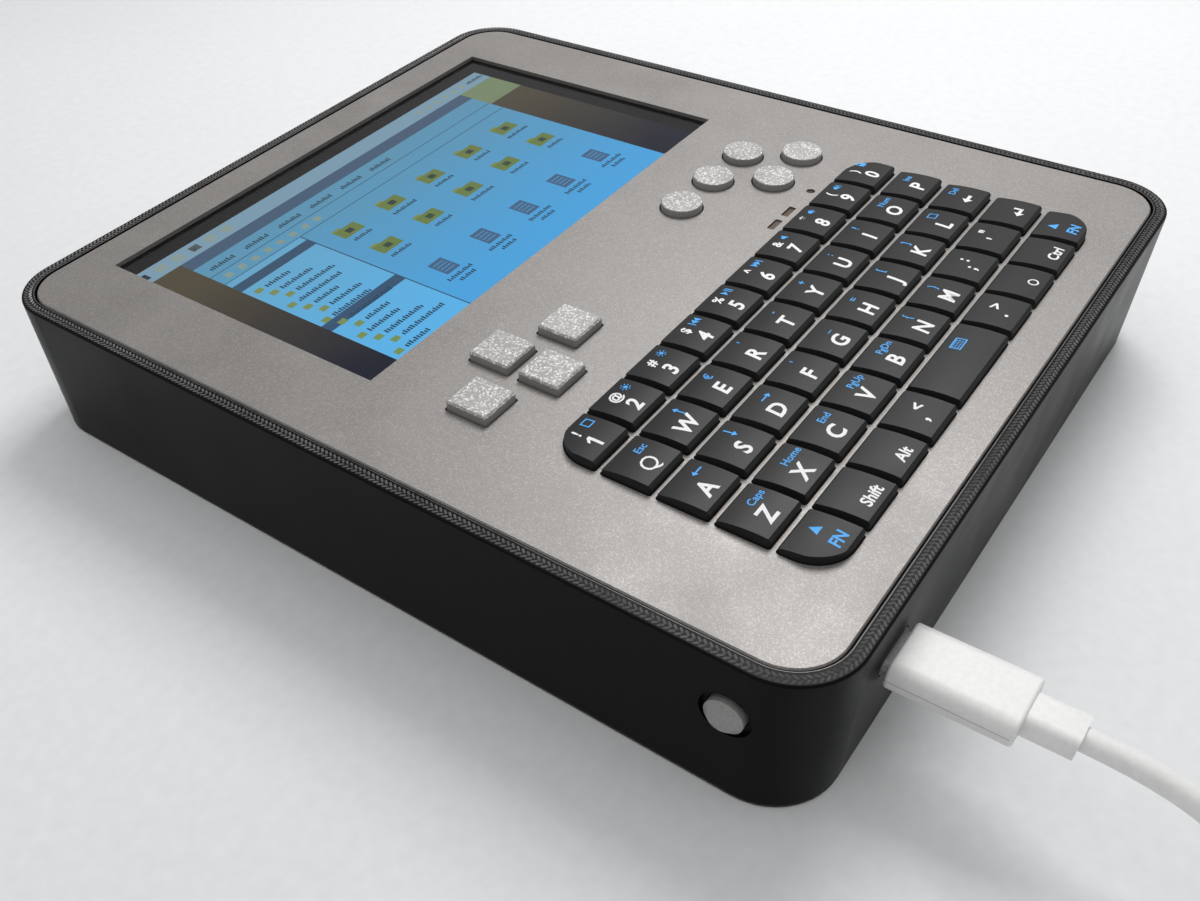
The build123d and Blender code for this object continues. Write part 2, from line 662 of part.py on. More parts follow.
# Screen
def display_glass():
    """Cover glass, up against the window's lip."""
    return slab(GLASS_LENGTH, GLASS_WIDTH, 0, CELL_TOP, GLASS_TOP, GLASS_X, GLASS_Y)


def display_cell():
    """The liquid crystal cell that makes the picture."""
    inset = 2 * (TRAY_WALL + TRAY_GAP)
    length = GLASS_LENGTH - inset
    width = GLASS_WIDTH - inset
    return slab(length, width, 0, CELL_BACK, CELL_TOP, GLASS_X, GLASS_Y)


def display_tray():
    """Metal tray with the backlight, its wall round the cell."""
    tray = slab(GLASS_LENGTH, GLASS_WIDTH, 0, TRAY_BACK, CELL_TOP, GLASS_X, GLASS_Y)
    inset = 2 * TRAY_WALL
    pocket = slab(
        GLASS_LENGTH - inset, GLASS_WIDTH - inset, 0, CELL_BACK, CELL_TOP, GLASS_X, GLASS_Y
    )
    return tray - pocket


def display_board():
    """Circuit board behind the tray, with its chips and connectors."""
    low = DISPLAY_BOARD_TOP - BOARD_THICK
    board = slab(
        DISPLAY_BOARD_LENGTH,
        DISPLAY_BOARD_WIDTH,
        DISPLAY_BOARD_CORNER,
        low,
        DISPLAY_BOARD_TOP,
        GLASS_X,
        GLASS_Y,
    )
    chips = [(DISPLAY_CHIP, DISPLAY_CHIP_PLACE), (DRIVER_CHIP, DRIVER_CHIP_PLACE)]
    for side, (x, y) in chips:
        board += slab(side, side, 0, low - CHIP_THICK, low, GLASS_X + x, GLASS_Y + y)
    connector_y = GLASS_Y + DISPLAY_CONNECTOR_OFFSET
    board += connector(DISPLAY_CONNECTOR_X, connector_y, low - CONNECTOR_HEIGHT)
    for x, y in DISPLAY_SPACERS:
        board -= screw_bore(x, y, low, BOARD_SCREW_LENGTH)
    return board


def board_spacers():
    """Hexagonal spacers between the tray and the display board."""
    outline = RegularPolygon(SPACER_ACROSS / 2, 6, major_radius=False)
    spacer = Pos(0, 0, DISPLAY_BOARD_TOP) * extrude(outline, SPACER_HEIGHT)
    spacer -= rod(SCREW_RADIUS + FIT, DISPLAY_BOARD_TOP, TRAY_BACK)
    return spread(spacer, DISPLAY_SPACERS)


# Buttons
def button_heights():
    """Heights of a panel button's lip and of its stem's free end."""
    lip_top = PANEL_BACK - PANEL_CLEAR
    switch_top = BUTTON_BOARD_TOP + SWITCH_HEIGHT + SWITCH_TIP_HEIGHT
    return lip_top, switch_top + BUTTON_TRAVEL + STOP_CLEAR


def pad_button(x, y):
    """A square direction button with a lip under the panel and a stem to its switch."""
    lip_top, stem_end = button_heights()
    lip_side = PAD_SIDE + 2 * BUTTON_LIP + 2 * BUTTON_GAP
    cap = slab(PAD_SIDE, PAD_SIDE, PAD_CORNER, lip_top, PANEL_TOP + PAD_RISE)
    cap = chamfer(cap.faces().sort_by(Axis.Z)[-1].edges(), BUTTON_EDGE)
    cap += slab(lip_side, lip_side, PAD_CORNER, lip_top - BUTTON_LIP_THICK, lip_top)
    cap += rod(BUTTON_STEM, stem_end, lip_top)
    return Pos(x, y, 0) * cap


def round_button(x, y):
    """A round action button with a lip under the panel and a stem to its switch."""
    lip_top, stem_end = button_heights()
    cap = rod(ROUND_RADIUS, lip_top, PANEL_TOP + ROUND_RISE)
    cap = fillet(cap.faces().sort_by(Axis.Z)[-1].edges(), BUTTON_EDGE)
    cap += rod(ROUND_RADIUS + BUTTON_GAP + BUTTON_LIP, lip_top - BUTTON_LIP_THICK, lip_top)
    cap += rod(BUTTON_STEM, stem_end, lip_top)
    return Pos(x, y, 0) * cap


def tact_switches():
    """A switch under every panel button, each with its plunger."""
    low = BUTTON_BOARD_TOP
    body_top = low + SWITCH_HEIGHT
    switch = slab(SWITCH_SIDE, SWITCH_SIDE, SWITCH_CORNER, low, body_top)
    switch += rod(SWITCH_TIP_RADIUS, body_top, body_top + SWITCH_TIP_HEIGHT)
    places = list(PAD_PLACES.values()) + list(ROUND_PLACES.values())
    return spread(switch, places)


def button_board():
    """Board that carries the nine switches."""
    low = BUTTON_BOARD_TOP - BOARD_THICK
    top = BUTTON_BOARD_TOP
    board = slab(BUTTON_BOARD_LENGTH, BUTTON_BOARD_WIDTH, BOARD_CORNER, low, top, 0, BUTTON_Y)
    board += connector(BUTTON_CONNECTOR_X, BUTTON_Y, low - CONNECTOR_HEIGHT)
    for x, y in BUTTON_BOSSES:
        board -= screw_bore(x, y, low, BOARD_SCREW_LENGTH)
    return board


def power_button():
    """Round bevelled button through the left wall, pressed along +X."""
    outside = -CASE_LENGTH / 2
    tip = outside - POWER_PROUD
    shoulder = tip + POWER_BEVEL
    lip_start = outside + WALL + POWER_LIP_CLEAR
    stem_end = outside + WALL + POWER_SWITCH_SETBACK - POWER_TIP_LENGTH - BUTTON_TRAVEL - STOP_CLEAR
    middle = (tip + shoulder) / 2
    bevel = Pos(middle, POWER_Y, POWER_Z) * Rot(0, 90, 0)
    button = bevel * Cone(POWER_FACE_RADIUS, POWER_RADIUS, POWER_BEVEL)
    button += rod_along_x(POWER_RADIUS, shoulder, lip_start, POWER_Y, POWER_Z)
    button += rod_along_x(POWER_LIP_RADIUS, lip_start, lip_start + POWER_LIP_THICK, POWER_Y, POWER_Z)
    button += rod_along_x(POWER_STEM_RADIUS, lip_start, stem_end, POWER_Y, POWER_Z)
    return button


def power_switch():
    """Side switch on the main board behind the power button."""
    front = -CASE_LENGTH / 2 + WALL + POWER_SWITCH_SETBACK
    body = slab(
        POWER_SWITCH_LENGTH,
        POWER_SWITCH_WIDTH,
        0,
        MAIN_BOARD_TOP,
        MAIN_BOARD_TOP + POWER_SWITCH_HEIGHT,
        front + POWER_SWITCH_LENGTH / 2,
        POWER_Y,
    )
    return body + rod_along_x(POWER_TIP_RADIUS, front - POWER_TIP_LENGTH, front, POWER_Y, POWER_Z)


# Keyboard
def key_cap(row, column, columns):
    """A key: crowned cap that falls towards the screen, lip under the panel, stem."""
    x, y = key_centre(row, column, columns)
    half = (KEY_PITCH_Y - KEY_WEB) / 2 - KEY_GAP
    low = PANEL_BACK - PANEL_CLEAR
    near_top = PANEL_TOP + KEY_RISE
    far_top = near_top - KEY_FAR_DROP
    side_points = [
        (-half, low),
        (-half, near_top - KEY_NEAR_EDGE),
        (-half + KEY_NEAR_EDGE, near_top),
    ]
    crown_end = (half - KEY_FAR_EDGE, far_top)
    crown_middle = (KEY_CROWN_Y, (near_top + far_top) / 2 + KEY_CROWN)
    profile = Polyline(*side_points)
    profile += ThreePointArc(side_points[-1], crown_middle, crown_end)
    profile += Polyline(crown_end, (half, far_top - KEY_FAR_EDGE), (half, low), side_points[0])
    length = columns * KEY_PITCH_X
    side_view = Plane.YZ * make_face(profile)
    cap = Pos(x, y, 0) * extrude(side_view, length / 2, both=True)
    outline = key_outline(row, column, columns, -KEY_GAP, KEY_CORNER)
    plan = Pos(0, 0, low) * extrude(outline, KEY_BLANK)
    half_length = (length - KEY_WEB) / 2 - KEY_GAP
    crown = near_top + KEY_CROWN
    front_points = [
        (-half_length, low),
        (-half_length, far_top - KEY_SIDE_EDGE),
        (-half_length + KEY_SIDE_EDGE, crown),
        (half_length - KEY_SIDE_EDGE, crown),
        (half_length, far_top - KEY_SIDE_EDGE),
        (half_length, low),
    ]
    front_view = Plane.XZ * make_face(Polyline(*front_points, close=True))
    taper = Pos(x, y, 0) * extrude(front_view, KEY_PITCH_Y, both=True)
    cap = cap & plan & taper
    lip = extrude(key_outline(row, column, columns, KEY_LIP, KEY_CORNER), KEY_LIP_THICK)
    cap += Pos(0, 0, low - KEY_LIP_THICK) * lip
    mat_top = KEY_BOARD_TOP + MAT_THICK + DOME_HEIGHT
    stem_end = mat_top + KEY_TRAVEL + 2 * STOP_CLEAR
    return cap + slab(KEY_STEM, KEY_STEM, 0, stem_end, low, x, y)


def key_group(name):
    """The caps of one group of keys."""
    return [key_cap(*key) for key in KEY_GROUPS[name]]


def key_mat():
    """Silicone sheet with a dome under every key."""
    length = KEY_COLUMNS * KEY_PITCH_X - 2 * MAT_INSET
    width = KEY_ROWS * KEY_PITCH_Y - 2 * MAT_INSET
    top = KEY_BOARD_TOP + MAT_THICK
    mat = slab(length, width, KEY_BLOCK_CORNER, KEY_BOARD_TOP, top, 0, KEYS_Y)
    for key in ALL_KEYS:
        x, y = key_centre(*key)
        dome = Cone(DOME_RADIUS, DOME_RADIUS - DOME_HEIGHT, DOME_HEIGHT)
        mat += Pos(x, y, top + DOME_HEIGHT / 2) * dome
    return mat


def key_board():
    """Board under the key mat."""
    low = KEY_BOARD_TOP - KEY_BOARD_THICK
    top = KEY_BOARD_TOP
    board = slab(KEY_BOARD_LENGTH, KEY_BOARD_WIDTH, BOARD_CORNER, low, top, 0, KEY_BOARD_Y)
    board += slab(KEY_CHIP, KEY_CHIP, 0, low - CHIP_THICK, low, KEY_CHIP_X, KEY_BOARD_Y)
    board += connector(KEY_CONNECTOR_X, KEY_CONNECTOR_Y, low - CONNECTOR_HEIGHT)
    for x, y in KEY_BOSSES:
        board -= screw_bore(x, y, low, BOARD_SCREW_LENGTH)
    return board


# Light windows
def status_leds():
    """A small light on the key board under each light window."""
    led = slab(LED_LENGTH, LED_WIDTH, 0, KEY_BOARD_TOP, KEY_BOARD_TOP + LED_HEIGHT)
    return spread(led, [(x, LIGHTS_Y) for x in SLOT_XS + (DOT_X,)])


def light_pipes():
    """Clear pieces that carry each light up into its window."""
    low = KEY_BOARD_TOP + LED_HEIGHT
    high = PANEL_TOP - PIPE_RECESS
    length = SLOT_LENGTH - 2 * PIPE_GAP
    width = SLOT_WIDTH - 2 * PIPE_GAP
    flat = slab(length, width, SLOT_CORNER - PIPE_GAP, low, high)
    pipes = spread(flat, [(x, LIGHTS_Y) for x in SLOT_XS])
    return pipes + spread(rod(DOT_RADIUS - PIPE_GAP, low, high), [(DOT_X, LIGHTS_Y)])


# Main board
def connector(x, y, low):
    """A ribbon connector, standing on a board or hanging under one."""
    return slab(CONNECTOR_LENGTH, CONNECTOR_DEPTH, 0, low, low + CONNECTOR_HEIGHT, x, y)


def battery_connector():
    """The battery lead's connector under the main board."""
    low = MAIN_BOARD_BACK - BATTERY_CONNECTOR_HEIGHT
    y = BATTERY_CONNECTOR_Y
    width = BATTERY_CONNECTOR_WIDTH
    return slab(BATTERY_CONNECTOR_LENGTH, width, 0, low, MAIN_BOARD_BACK, BATTERY_LEAD_X, y)


def main_board():
    """Main circuit board, screwed up against lugs on the walls."""
    low = MAIN_BOARD_BACK
    top = MAIN_BOARD_TOP
    board = slab(MAIN_BOARD_LENGTH, MAIN_BOARD_WIDTH, INNER_CORNER, low, top, 0, MAIN_BOARD_Y)
    for offset in (-1, 1):
        y = MODULE_Y + offset * (MODULE_WIDTH / 2 - MODULE_CONNECTOR_INSET)
        length = MODULE_CONNECTOR_LENGTH
        board += slab(length, CONNECTOR_DEPTH, 0, low - MODULE_CONNECTOR, low, MODULE_X, y)
    connectors = [
        (DISPLAY_CONNECTOR_X, MAIN_CONNECTOR_Y),
        (BUTTON_CONNECTOR_X, MAIN_CONNECTOR_Y),
        (KEY_CONNECTOR_X, KEY_CONNECTOR_Y),
    ]
    for x, y in connectors:
        board += connector(x, y, top)
    x = PORT_X + CHARGER_CHIP_X
    board += slab(CHARGER_CHIP, CHARGER_CHIP, 0, top, top + CHIP_THICK, x, CHARGER_Y)
    x = PORT_X + CHARGER_COIL_X
    board += slab(CHARGER_COIL, CHARGER_COIL, 0, top, top + CHARGER_COIL_HEIGHT, x, CHARGER_Y)
    board += battery_connector()
    for x, y in BOARD_LUGS:
        board -= screw_bore(x, y, low, BOARD_SCREW_LENGTH)
    return board


def compute_module():
    """Processor module under the main board."""
    low = MODULE_TOP - MODULE_THICK
    module = slab(MODULE_LENGTH, MODULE_WIDTH, MODULE_CORNER, low, MODULE_TOP, MODULE_X, MODULE_Y)
    module += slab(CHIP_SIDE, CHIP_SIDE, 0, low - CHIP_THICK, low, MODULE_X, MODULE_Y)
    x = MODULE_X + MEMORY_X
    return module + slab(MEMORY_LENGTH, MEMORY_WIDTH, 0, low - MEMORY_THICK, low, x, MODULE_Y)


def heat_sink():
    """Finned plate on the processor, fins towards the vents."""
    low = SINK_TOP - SINK_BASE
    sink = slab(SINK_LENGTH, SINK_WIDTH, 0, low, SINK_TOP, MODULE_X, MODULE_Y)
    pitch = (SINK_LENGTH - SINK_FIN_THICK) / (SINK_FIN_COUNT - 1)
    for number in range(SINK_FIN_COUNT):
        x = MODULE_X - SINK_LENGTH / 2 + SINK_FIN_THICK / 2 + number * pitch
        sink += slab(SINK_FIN_THICK, SINK_WIDTH, 0, low - SINK_FIN_HEIGHT, low, x, MODULE_Y)
    return sink


def charge_socket():
    """Metal socket on the main board, its mouth flush with the case."""
    near = -CASE_WIDTH / 2 + PORT_LENGTH
    mouth = -CASE_WIDTH / 2
    outer = PORT_HEIGHT / 2 - ROUND_END_TRIM
    inner = PORT_BORE_HEIGHT / 2 - ROUND_END_TRIM
    socket = bar_along_y(PORT_WIDTH, PORT_HEIGHT, outer, near, mouth, PORT_X, PORT_Z)
    back = near - PORT_BACK
    socket -= bar_along_y(PORT_BORE_WIDTH, PORT_BORE_HEIGHT, inner, back, mouth, PORT_X, PORT_Z)
    tongue = PORT_TONGUE_THICK / 2 - ROUND_END_TRIM
    end = back - PORT_TONGUE_LENGTH
    return socket + bar_along_y(PORT_TONGUE_WIDTH, PORT_TONGUE_THICK, tongue, back, end, PORT_X, PORT_Z)


def ribbon(points, x):
    """A flat cable along a line given in Y and Z, with rounded bends."""
    line = FilletPolyline(*[(x, y, z) for y, z in points], radius=RIBBON_BEND)
    plane = Plane(origin=line @ 0, x_dir=(1, 0, 0), z_dir=line % 0)
    return sweep(plane * Rectangle(RIBBON_WIDTH, RIBBON_THICK), path=line)


def ribbon_cables():
    """Flat cables from the main board to the display, button and key boards."""
    board_face = MAIN_CONNECTOR_Y + CONNECTOR_DEPTH / 2
    board_z = MAIN_BOARD_TOP + CONNECTOR_HEIGHT / 2
    display_face = GLASS_Y + DISPLAY_CONNECTOR_OFFSET - CONNECTOR_DEPTH / 2
    display_z = DISPLAY_BOARD_TOP - BOARD_THICK - CONNECTOR_HEIGHT / 2
    step = (display_face - board_face) / 3
    display = [
        (display_face, display_z),
        (display_face - step, display_z),
        (board_face + step, board_z),
        (board_face, board_z),
    ]
    button_face = BUTTON_Y - CONNECTOR_DEPTH / 2
    button_z = BUTTON_BOARD_TOP - BOARD_THICK - CONNECTOR_HEIGHT / 2
    button_step = (button_face - board_face) / 3
    button = [
        (button_face, button_z),
        (button_face - button_step, button_z),
        (board_face + button_step, board_z),
        (board_face, board_z),
    ]
    key_face = KEY_CONNECTOR_Y - CONNECTOR_DEPTH / 2
    key_z = KEY_BOARD_TOP - KEY_BOARD_THICK - CONNECTOR_HEIGHT / 2
    key = [
        (key_face, key_z),
        (key_face - KEY_RIBBON_LOOP, key_z),
        (key_face - KEY_RIBBON_LOOP, board_z),
        (key_face, board_z),
    ]
    return [
        ribbon(display, DISPLAY_CONNECTOR_X),
        ribbon(button, BUTTON_CONNECTOR_X),
        ribbon(key, KEY_CONNECTOR_X),
    ]


# Battery
def battery():
    """Flat pouch cell on the bottom cover."""
    high = COVER_TOP + BATTERY_THICK
    cell = slab(BATTERY_LENGTH, BATTERY_WIDTH, BATTERY_CORNER, COVER_TOP, high, 0, BATTERY_Y)
    return fillet(cell.faces().sort_by(Axis.Z)[-1].edges(), BATTERY_EDGE)


def battery_lead():
    """Two wires from the battery to the main board."""
    start_y = BATTERY_Y - BATTERY_WIDTH / 2
    end_y = BATTERY_CONNECTOR_Y + BATTERY_CONNECTOR_WIDTH / 2
    start_z = COVER_TOP + BATTERY_LEAD_RISE
    end_z = MAIN_BOARD_BACK - BATTERY_CONNECTOR_HEIGHT / 2
    step = (start_y - end_y) / 3
    wires = []
    for side in (-1, 1):
        x = BATTERY_LEAD_X + side * LEAD_SPACING / 2
        route = [
            (x, start_y, start_z),
            (x, start_y - step, start_z),
            (x, end_y + step, end_z),
            (x, end_y, end_z),
        ]
        wires.append(tube(route, LEAD_WIRE_RADIUS))
    return wires


# Screws
def panel_screws():
    """Screws up through the lugs into the panel's bosses."""
    seat = LUG_TOP - PANEL_LUG_THICK
    return [pan_screw(x, y, seat, PANEL_SCREW_LENGTH) for x, y in PANEL_LUGS]


def board_screws():
    """Screws that hold the four boards."""
    seats = [(DISPLAY_SPACERS, DISPLAY_BOARD_TOP - BOARD_THICK)]
    seats.append((BUTTON_BOSSES, BUTTON_BOARD_TOP - BOARD_THICK))
    seats.append((KEY_BOSSES, KEY_BOARD_TOP - KEY_BOARD_THICK))
    seats.append((BOARD_LUGS, MAIN_BOARD_BACK))
    return [
        pan_screw(x, y, seat, BOARD_SCREW_LENGTH) for places, seat in seats for x, y in places
    ]


# Lead
def tube(points, radius):
    """A round tube along straight runs. Each bend is an arc that takes up to BEND_SHARE of
    the shorter run beside it."""
    corners = [Vector(*point) for point in points]
    radii = []
    for before, corner, after in zip(corners, corners[1:], corners[2:]):
        turn = (corner - before).get_angle(after - corner)
        shorter = min((corner - before).length, (after - corner).length)
        radii.append(BEND_SHARE * shorter / math.tan(math.radians(turn) / 2))
    line = FilletPolyline(*points, radius=radii)
    print("bend radii", [round(value, 1) for value in radii], "length", round(line.length, 1))
    plane = Plane(origin=line @ 0, z_dir=line % 0)
    solid = sweep(plane * Circle(radius), path=line)
    expected = math.pi * radius**2 * line.length
    print("volume over section times length", round(solid.volume / expected, 4))
    return solid


def plug_shell():
    """Hollow metal nose of the plug."""
    tip = MOULD_FACE + PLUG_REACH
    outer = PLUG_HEIGHT / 2 - ROUND_END_TRIM
    shell = bar_along_y(PLUG_WIDTH, PLUG_HEIGHT, outer, tip, MOULD_FACE, PORT_X, PORT_Z)
    width = PLUG_WIDTH - 2 * PLUG_WALL
    height = PLUG_HEIGHT - 2 * PLUG_WALL
    floor = tip - PLUG_BORE
    return shell - bar_along_y(width, height, outer - PLUG_WALL, tip, floor, PORT_X, PORT_Z)


def plug_mould():
    """Moulded grip of the plug."""
    mould = bar_along_y(
        MOULD_WIDTH, MOULD_HEIGHT, MOULD_CORNER, MOULD_FACE, MOULD_END, PORT_X, PORT_Z
    )
    ends = mould.faces().sort_by(Axis.Y)
    return fillet(ends[0].edges() + ends[-1].edges(), MOULD_ROUND)


def plug_sleeve():
    """Narrow flat-sided sleeve where the cable leaves the plug."""
    return bar_along_y(
        SLEEVE_WIDTH, SLEEVE_HEIGHT, SLEEVE_CORNER, MOULD_END, SLEEVE_END, PORT_X, PORT_Z
    )


def cable():
    """The stretch of cable from the plug to the coil."""
    return tube([(PORT_X, SLEEVE_END, PORT_Z)] + LEAD_POINTS, CABLE_RADIUS)


def coil_ring():
    """Outer shape of the coiled cable, with a groove under the tie."""
    section = Pos(COIL_MID_RADIUS, COIL_HEIGHT / 2) * RectangleRounded(
        COIL_WIDTH, COIL_HEIGHT, COIL_CORNER
    )
    ring = revolve(Plane.XZ * section, Axis.Z)
    ring = Pos(COIL_X, COIL_Y, 0) * ring
    return ring - tie_block(0.0, TIE_THICK)


def tie_block(low, high):
    """The block that the tie fills between two heights."""
    length = COIL_WIDTH + 2 * TIE_SIDE
    return slab(length, TIE_WIDTH, 0, low, high, COIL_X + COIL_MID_RADIUS, COIL_Y)


def coil_tie():
    """Strap round the coil."""
    return tie_block(0.0, COIL_HEIGHT + TIE_THICK) - coil_ring()


def cable_tail():
    """The stretch of cable from the coil to the far plug."""
    return tube(TAIL_POINTS, CABLE_RADIUS)


def at_far_end(shape):
    """A piece of the near plug, moved to the far end of the cable, pointing along +X."""
    x, y, z = TAIL_POINTS[-1]
    return Pos(x, y, z) * Rot(0, 0, -90) * Pos(-PORT_X, -SLEEVE_END, -PORT_Z) * shape


def far_plug_mould():
    """Grip and sleeve of the plug on the cable's far end."""
    return at_far_end(plug_mould() + plug_sleeve())


def far_plug_shell():
    """Metal nose of the plug on the cable's far end."""
    return at_far_end(plug_shell())


NODES = {
    "case_shell": case_shell,
    "bottom_cover": bottom_cover,
    "front_panel": front_panel,
    "display_glass": display_glass,
    "display_cell": display_cell,
    "display_tray": display_tray,
    "display_board": display_board,
    "board_spacers": board_spacers,
    "button_board": button_board,
    "tact_switches": tact_switches,
    "power_button": power_button,
    "power_switch": power_switch,
    "key_mat": key_mat,
    "key_board": key_board,
    "status_leds": status_leds,
    "light_pipes": light_pipes,
    "main_board": main_board,
    "compute_module": compute_module,
    "heat_sink": heat_sink,
    "charge_socket": charge_socket,
    "ribbon_cables": ribbon_cables,
    "battery": battery,
    "battery_lead": battery_lead,
    "panel_screws": panel_screws,
    "board_screws": board_screws,
    "cover_screws": cover_screws,
    "cover_inserts": cover_inserts,
    "plug_shell": plug_shell,
    "plug_mould": plug_mould,
    "plug_sleeve": plug_sleeve,
    "cable": cable,
    "cable_coil": coil_ring,
    "coil_tie": coil_tie,
    "cable_tail": cable_tail,
    "far_plug_mould": far_plug_mould,
    "far_plug_shell": far_plug_shell,
}


def write_node(name, shape):
    """One STEP file for one node; a list of solids becomes one compound."""
    solids = Compound(children=shape) if isinstance(shape, list) else shape
    solids.label = name
    export_step(solids, f"parts/{name}.step")


os.makedirs("parts", exist_ok=True)
for node_name, make in NODES.items():
    write_node(node_name, make())
for node_name, place in PAD_PLACES.items():
    write_node(node_name, pad_button(*place))
for node_name, place in ROUND_PLACES.items():
    write_node(node_name, round_button(*place))
for node_name in KEY_GROUPS:
    write_node(node_name, key_group(node_name))
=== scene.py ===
import bmesh
import bpy
import json
import math
import numpy as np
from mathutils import Euler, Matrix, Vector
from mathutils.bvhtree import BVHTree


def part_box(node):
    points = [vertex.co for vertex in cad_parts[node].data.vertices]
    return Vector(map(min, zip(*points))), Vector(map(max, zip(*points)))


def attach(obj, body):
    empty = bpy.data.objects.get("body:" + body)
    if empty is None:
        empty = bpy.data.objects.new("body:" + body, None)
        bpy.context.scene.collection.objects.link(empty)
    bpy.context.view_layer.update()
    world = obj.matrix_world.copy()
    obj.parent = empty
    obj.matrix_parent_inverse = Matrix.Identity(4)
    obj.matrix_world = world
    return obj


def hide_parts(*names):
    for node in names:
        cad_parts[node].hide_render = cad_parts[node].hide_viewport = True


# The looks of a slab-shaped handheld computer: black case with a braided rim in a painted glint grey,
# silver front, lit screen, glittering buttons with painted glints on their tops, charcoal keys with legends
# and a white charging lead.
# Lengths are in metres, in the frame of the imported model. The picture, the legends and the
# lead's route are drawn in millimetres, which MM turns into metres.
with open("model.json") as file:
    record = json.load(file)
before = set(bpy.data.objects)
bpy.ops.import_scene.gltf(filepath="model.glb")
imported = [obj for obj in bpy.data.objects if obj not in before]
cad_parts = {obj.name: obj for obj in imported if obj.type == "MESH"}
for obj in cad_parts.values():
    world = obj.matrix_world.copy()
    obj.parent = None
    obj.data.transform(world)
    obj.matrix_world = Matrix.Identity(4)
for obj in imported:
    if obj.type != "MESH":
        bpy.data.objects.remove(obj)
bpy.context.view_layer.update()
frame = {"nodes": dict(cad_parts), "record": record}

MM = 0.001
CASE_LOW, CASE_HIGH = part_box("case_shell")
GLASS_LOW, GLASS_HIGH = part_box("display_glass")
MOULD_LOW, MOULD_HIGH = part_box("plug_mould")
BUTTON_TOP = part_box("round_button_1")[1][2]
CASE_CORNER = 11.1 * MM


# Shader nodes
FLOAT = "NodeSocketFloat"
COLOUR = "NodeSocketColor"
PLAIN_BLACK = (0, 0, 0, 1)
PLAIN_WHITE = (1, 1, 1, 1)


def opaque(colour):
    """A colour with the fourth value that a socket needs."""
    return (*colour, 1)


def feed(tree, node, inputs):
    """Give a node its inputs, each as a value or as a link from a socket."""
    for name, value in inputs.items():
        if isinstance(value, bpy.types.NodeSocket):
            tree.links.new(value, node.inputs[name])
        else:
            node.inputs[name].default_value = value


def add(tree, kind, inputs=None, **settings):
    """A new node with its inputs and its settings."""
    node = tree.nodes.new(kind)
    for name, value in settings.items():
        setattr(node, name, value)
    feed(tree, node, inputs or {})
    return node


def calculated(tree, operation, *values):
    """What an operation makes of one, two or three values."""
    return add(tree, "ShaderNodeMath", dict(enumerate(values)), operation=operation).outputs[0]


def ranged(tree, value, low, high, low_result=0.0, high_result=1.0, **settings):
    """A value carried over from one range to another, and held at its ends."""
    inputs = {"Value": value, "From Min": low, "From Max": high, "To Min": low_result,
              "To Max": high_result}
    return add(tree, "ShaderNodeMapRange", inputs, **settings).outputs[0]


def mixed(tree, share, first, second):
    """A colour between two others: the first at share 0 and the second at share 1. The mix
    node takes its colours at sockets 6 and 7, and gives the mixed one at socket 2."""
    return add(tree, "ShaderNodeMix", {0: share, 6: first, 7: second}, data_type="RGBA").outputs[2]


def object_place(tree):
    """Where a point lies, in the object's own coordinates."""
    return add(tree, "ShaderNodeTexCoord").outputs["Object"]


def coordinate(tree, place, axis):
    """One coordinate of a place."""
    return add(tree, "ShaderNodeSeparateXYZ", {0: place}).outputs[axis]


def bumps(tree, height, strength, depth):
    """A normal that follows a height; the depth is in millimetres."""
    inputs = {"Strength": strength, "Distance": depth * MM, "Height": height}
    return add(tree, "ShaderNodeBump", inputs).outputs[0]


def only_node(tree, kind):
    """The tree's one node of a kind."""
    return next(node for node in tree.nodes if node.type == kind)


def new_group(name, inputs, outputs):
    """An empty node group with named sockets: (tree, what comes in, the output node)."""
    tree = bpy.data.node_groups.new(name, "ShaderNodeTree")
    for label, kind, value in inputs:
        socket = tree.interface.new_socket(name=label, in_out="INPUT", socket_type=kind)
        socket.default_value = value
    for label, kind in outputs:
        tree.interface.new_socket(name=label, in_out="OUTPUT", socket_type=kind)
    given = tree.nodes.new("NodeGroupInput").outputs
    return tree, given, tree.nodes.new("NodeGroupOutput")


BROAD_DETAIL = 3.0
FINE_DETAIL = 2.0
DARK_UP_TO = 0.7
LIGHT_FROM = 1.3


def make_grain():
    """Grain: broad and fine noise on the object's coordinates, added and mixed between a
    dark and a light colour. The height is the fine noise."""
    inputs = [("Broad", FLOAT, 60.0), ("Fine", FLOAT, 2000.0), ("Dark", COLOUR, PLAIN_BLACK),
              ("Light", COLOUR, PLAIN_WHITE)]
    outputs = [("Colour", COLOUR), ("Blotch", FLOAT), ("Height", FLOAT)]
    tree, given, out = new_group("grain", inputs, outputs)
    place = object_place(tree)
    broad = add(tree, "ShaderNodeTexNoise", {"Vector": place, "Scale": given["Broad"],
                                             "Detail": BROAD_DETAIL}).outputs["Fac"]
    fine = add(tree, "ShaderNodeTexNoise", {"Vector": place, "Scale": given["Fine"],
                                            "Detail": FINE_DETAIL}).outputs["Fac"]
    share = ranged(tree, calculated(tree, "ADD", broad, fine), DARK_UP_TO, LIGHT_FROM)
    colour = mixed(tree, share, given["Dark"], given["Light"])
    feed(tree, out, {"Colour": colour, "Blotch": broad, "Height": fine})
    return tree


def make_glitter():
    """Glitter: small cells, each with a random number; a cell is bright, a painted glint, where its number
    is over a threshold. The height is a second number, so every cell lies at its own level."""
    inputs = [("Scale", FLOAT, 2000.0), ("Threshold", FLOAT, 0.8)]
    tree, given, out = new_group("glitter", inputs, [("Mask", FLOAT), ("Height", FLOAT)])
    cells = add(tree, "ShaderNodeTexVoronoi", {"Vector": object_place(tree), "Scale": given["Scale"]})
    numbers = add(tree, "ShaderNodeSeparateColor", {"Color": cells.outputs["Color"]}).outputs
    bright = ranged(tree, numbers["Red"], given["Threshold"], 1.0)
    feed(tree, out, {"Mask": bright, "Height": numbers["Green"]})
    return tree


GRAIN = make_grain()
GLITTER = make_glitter()


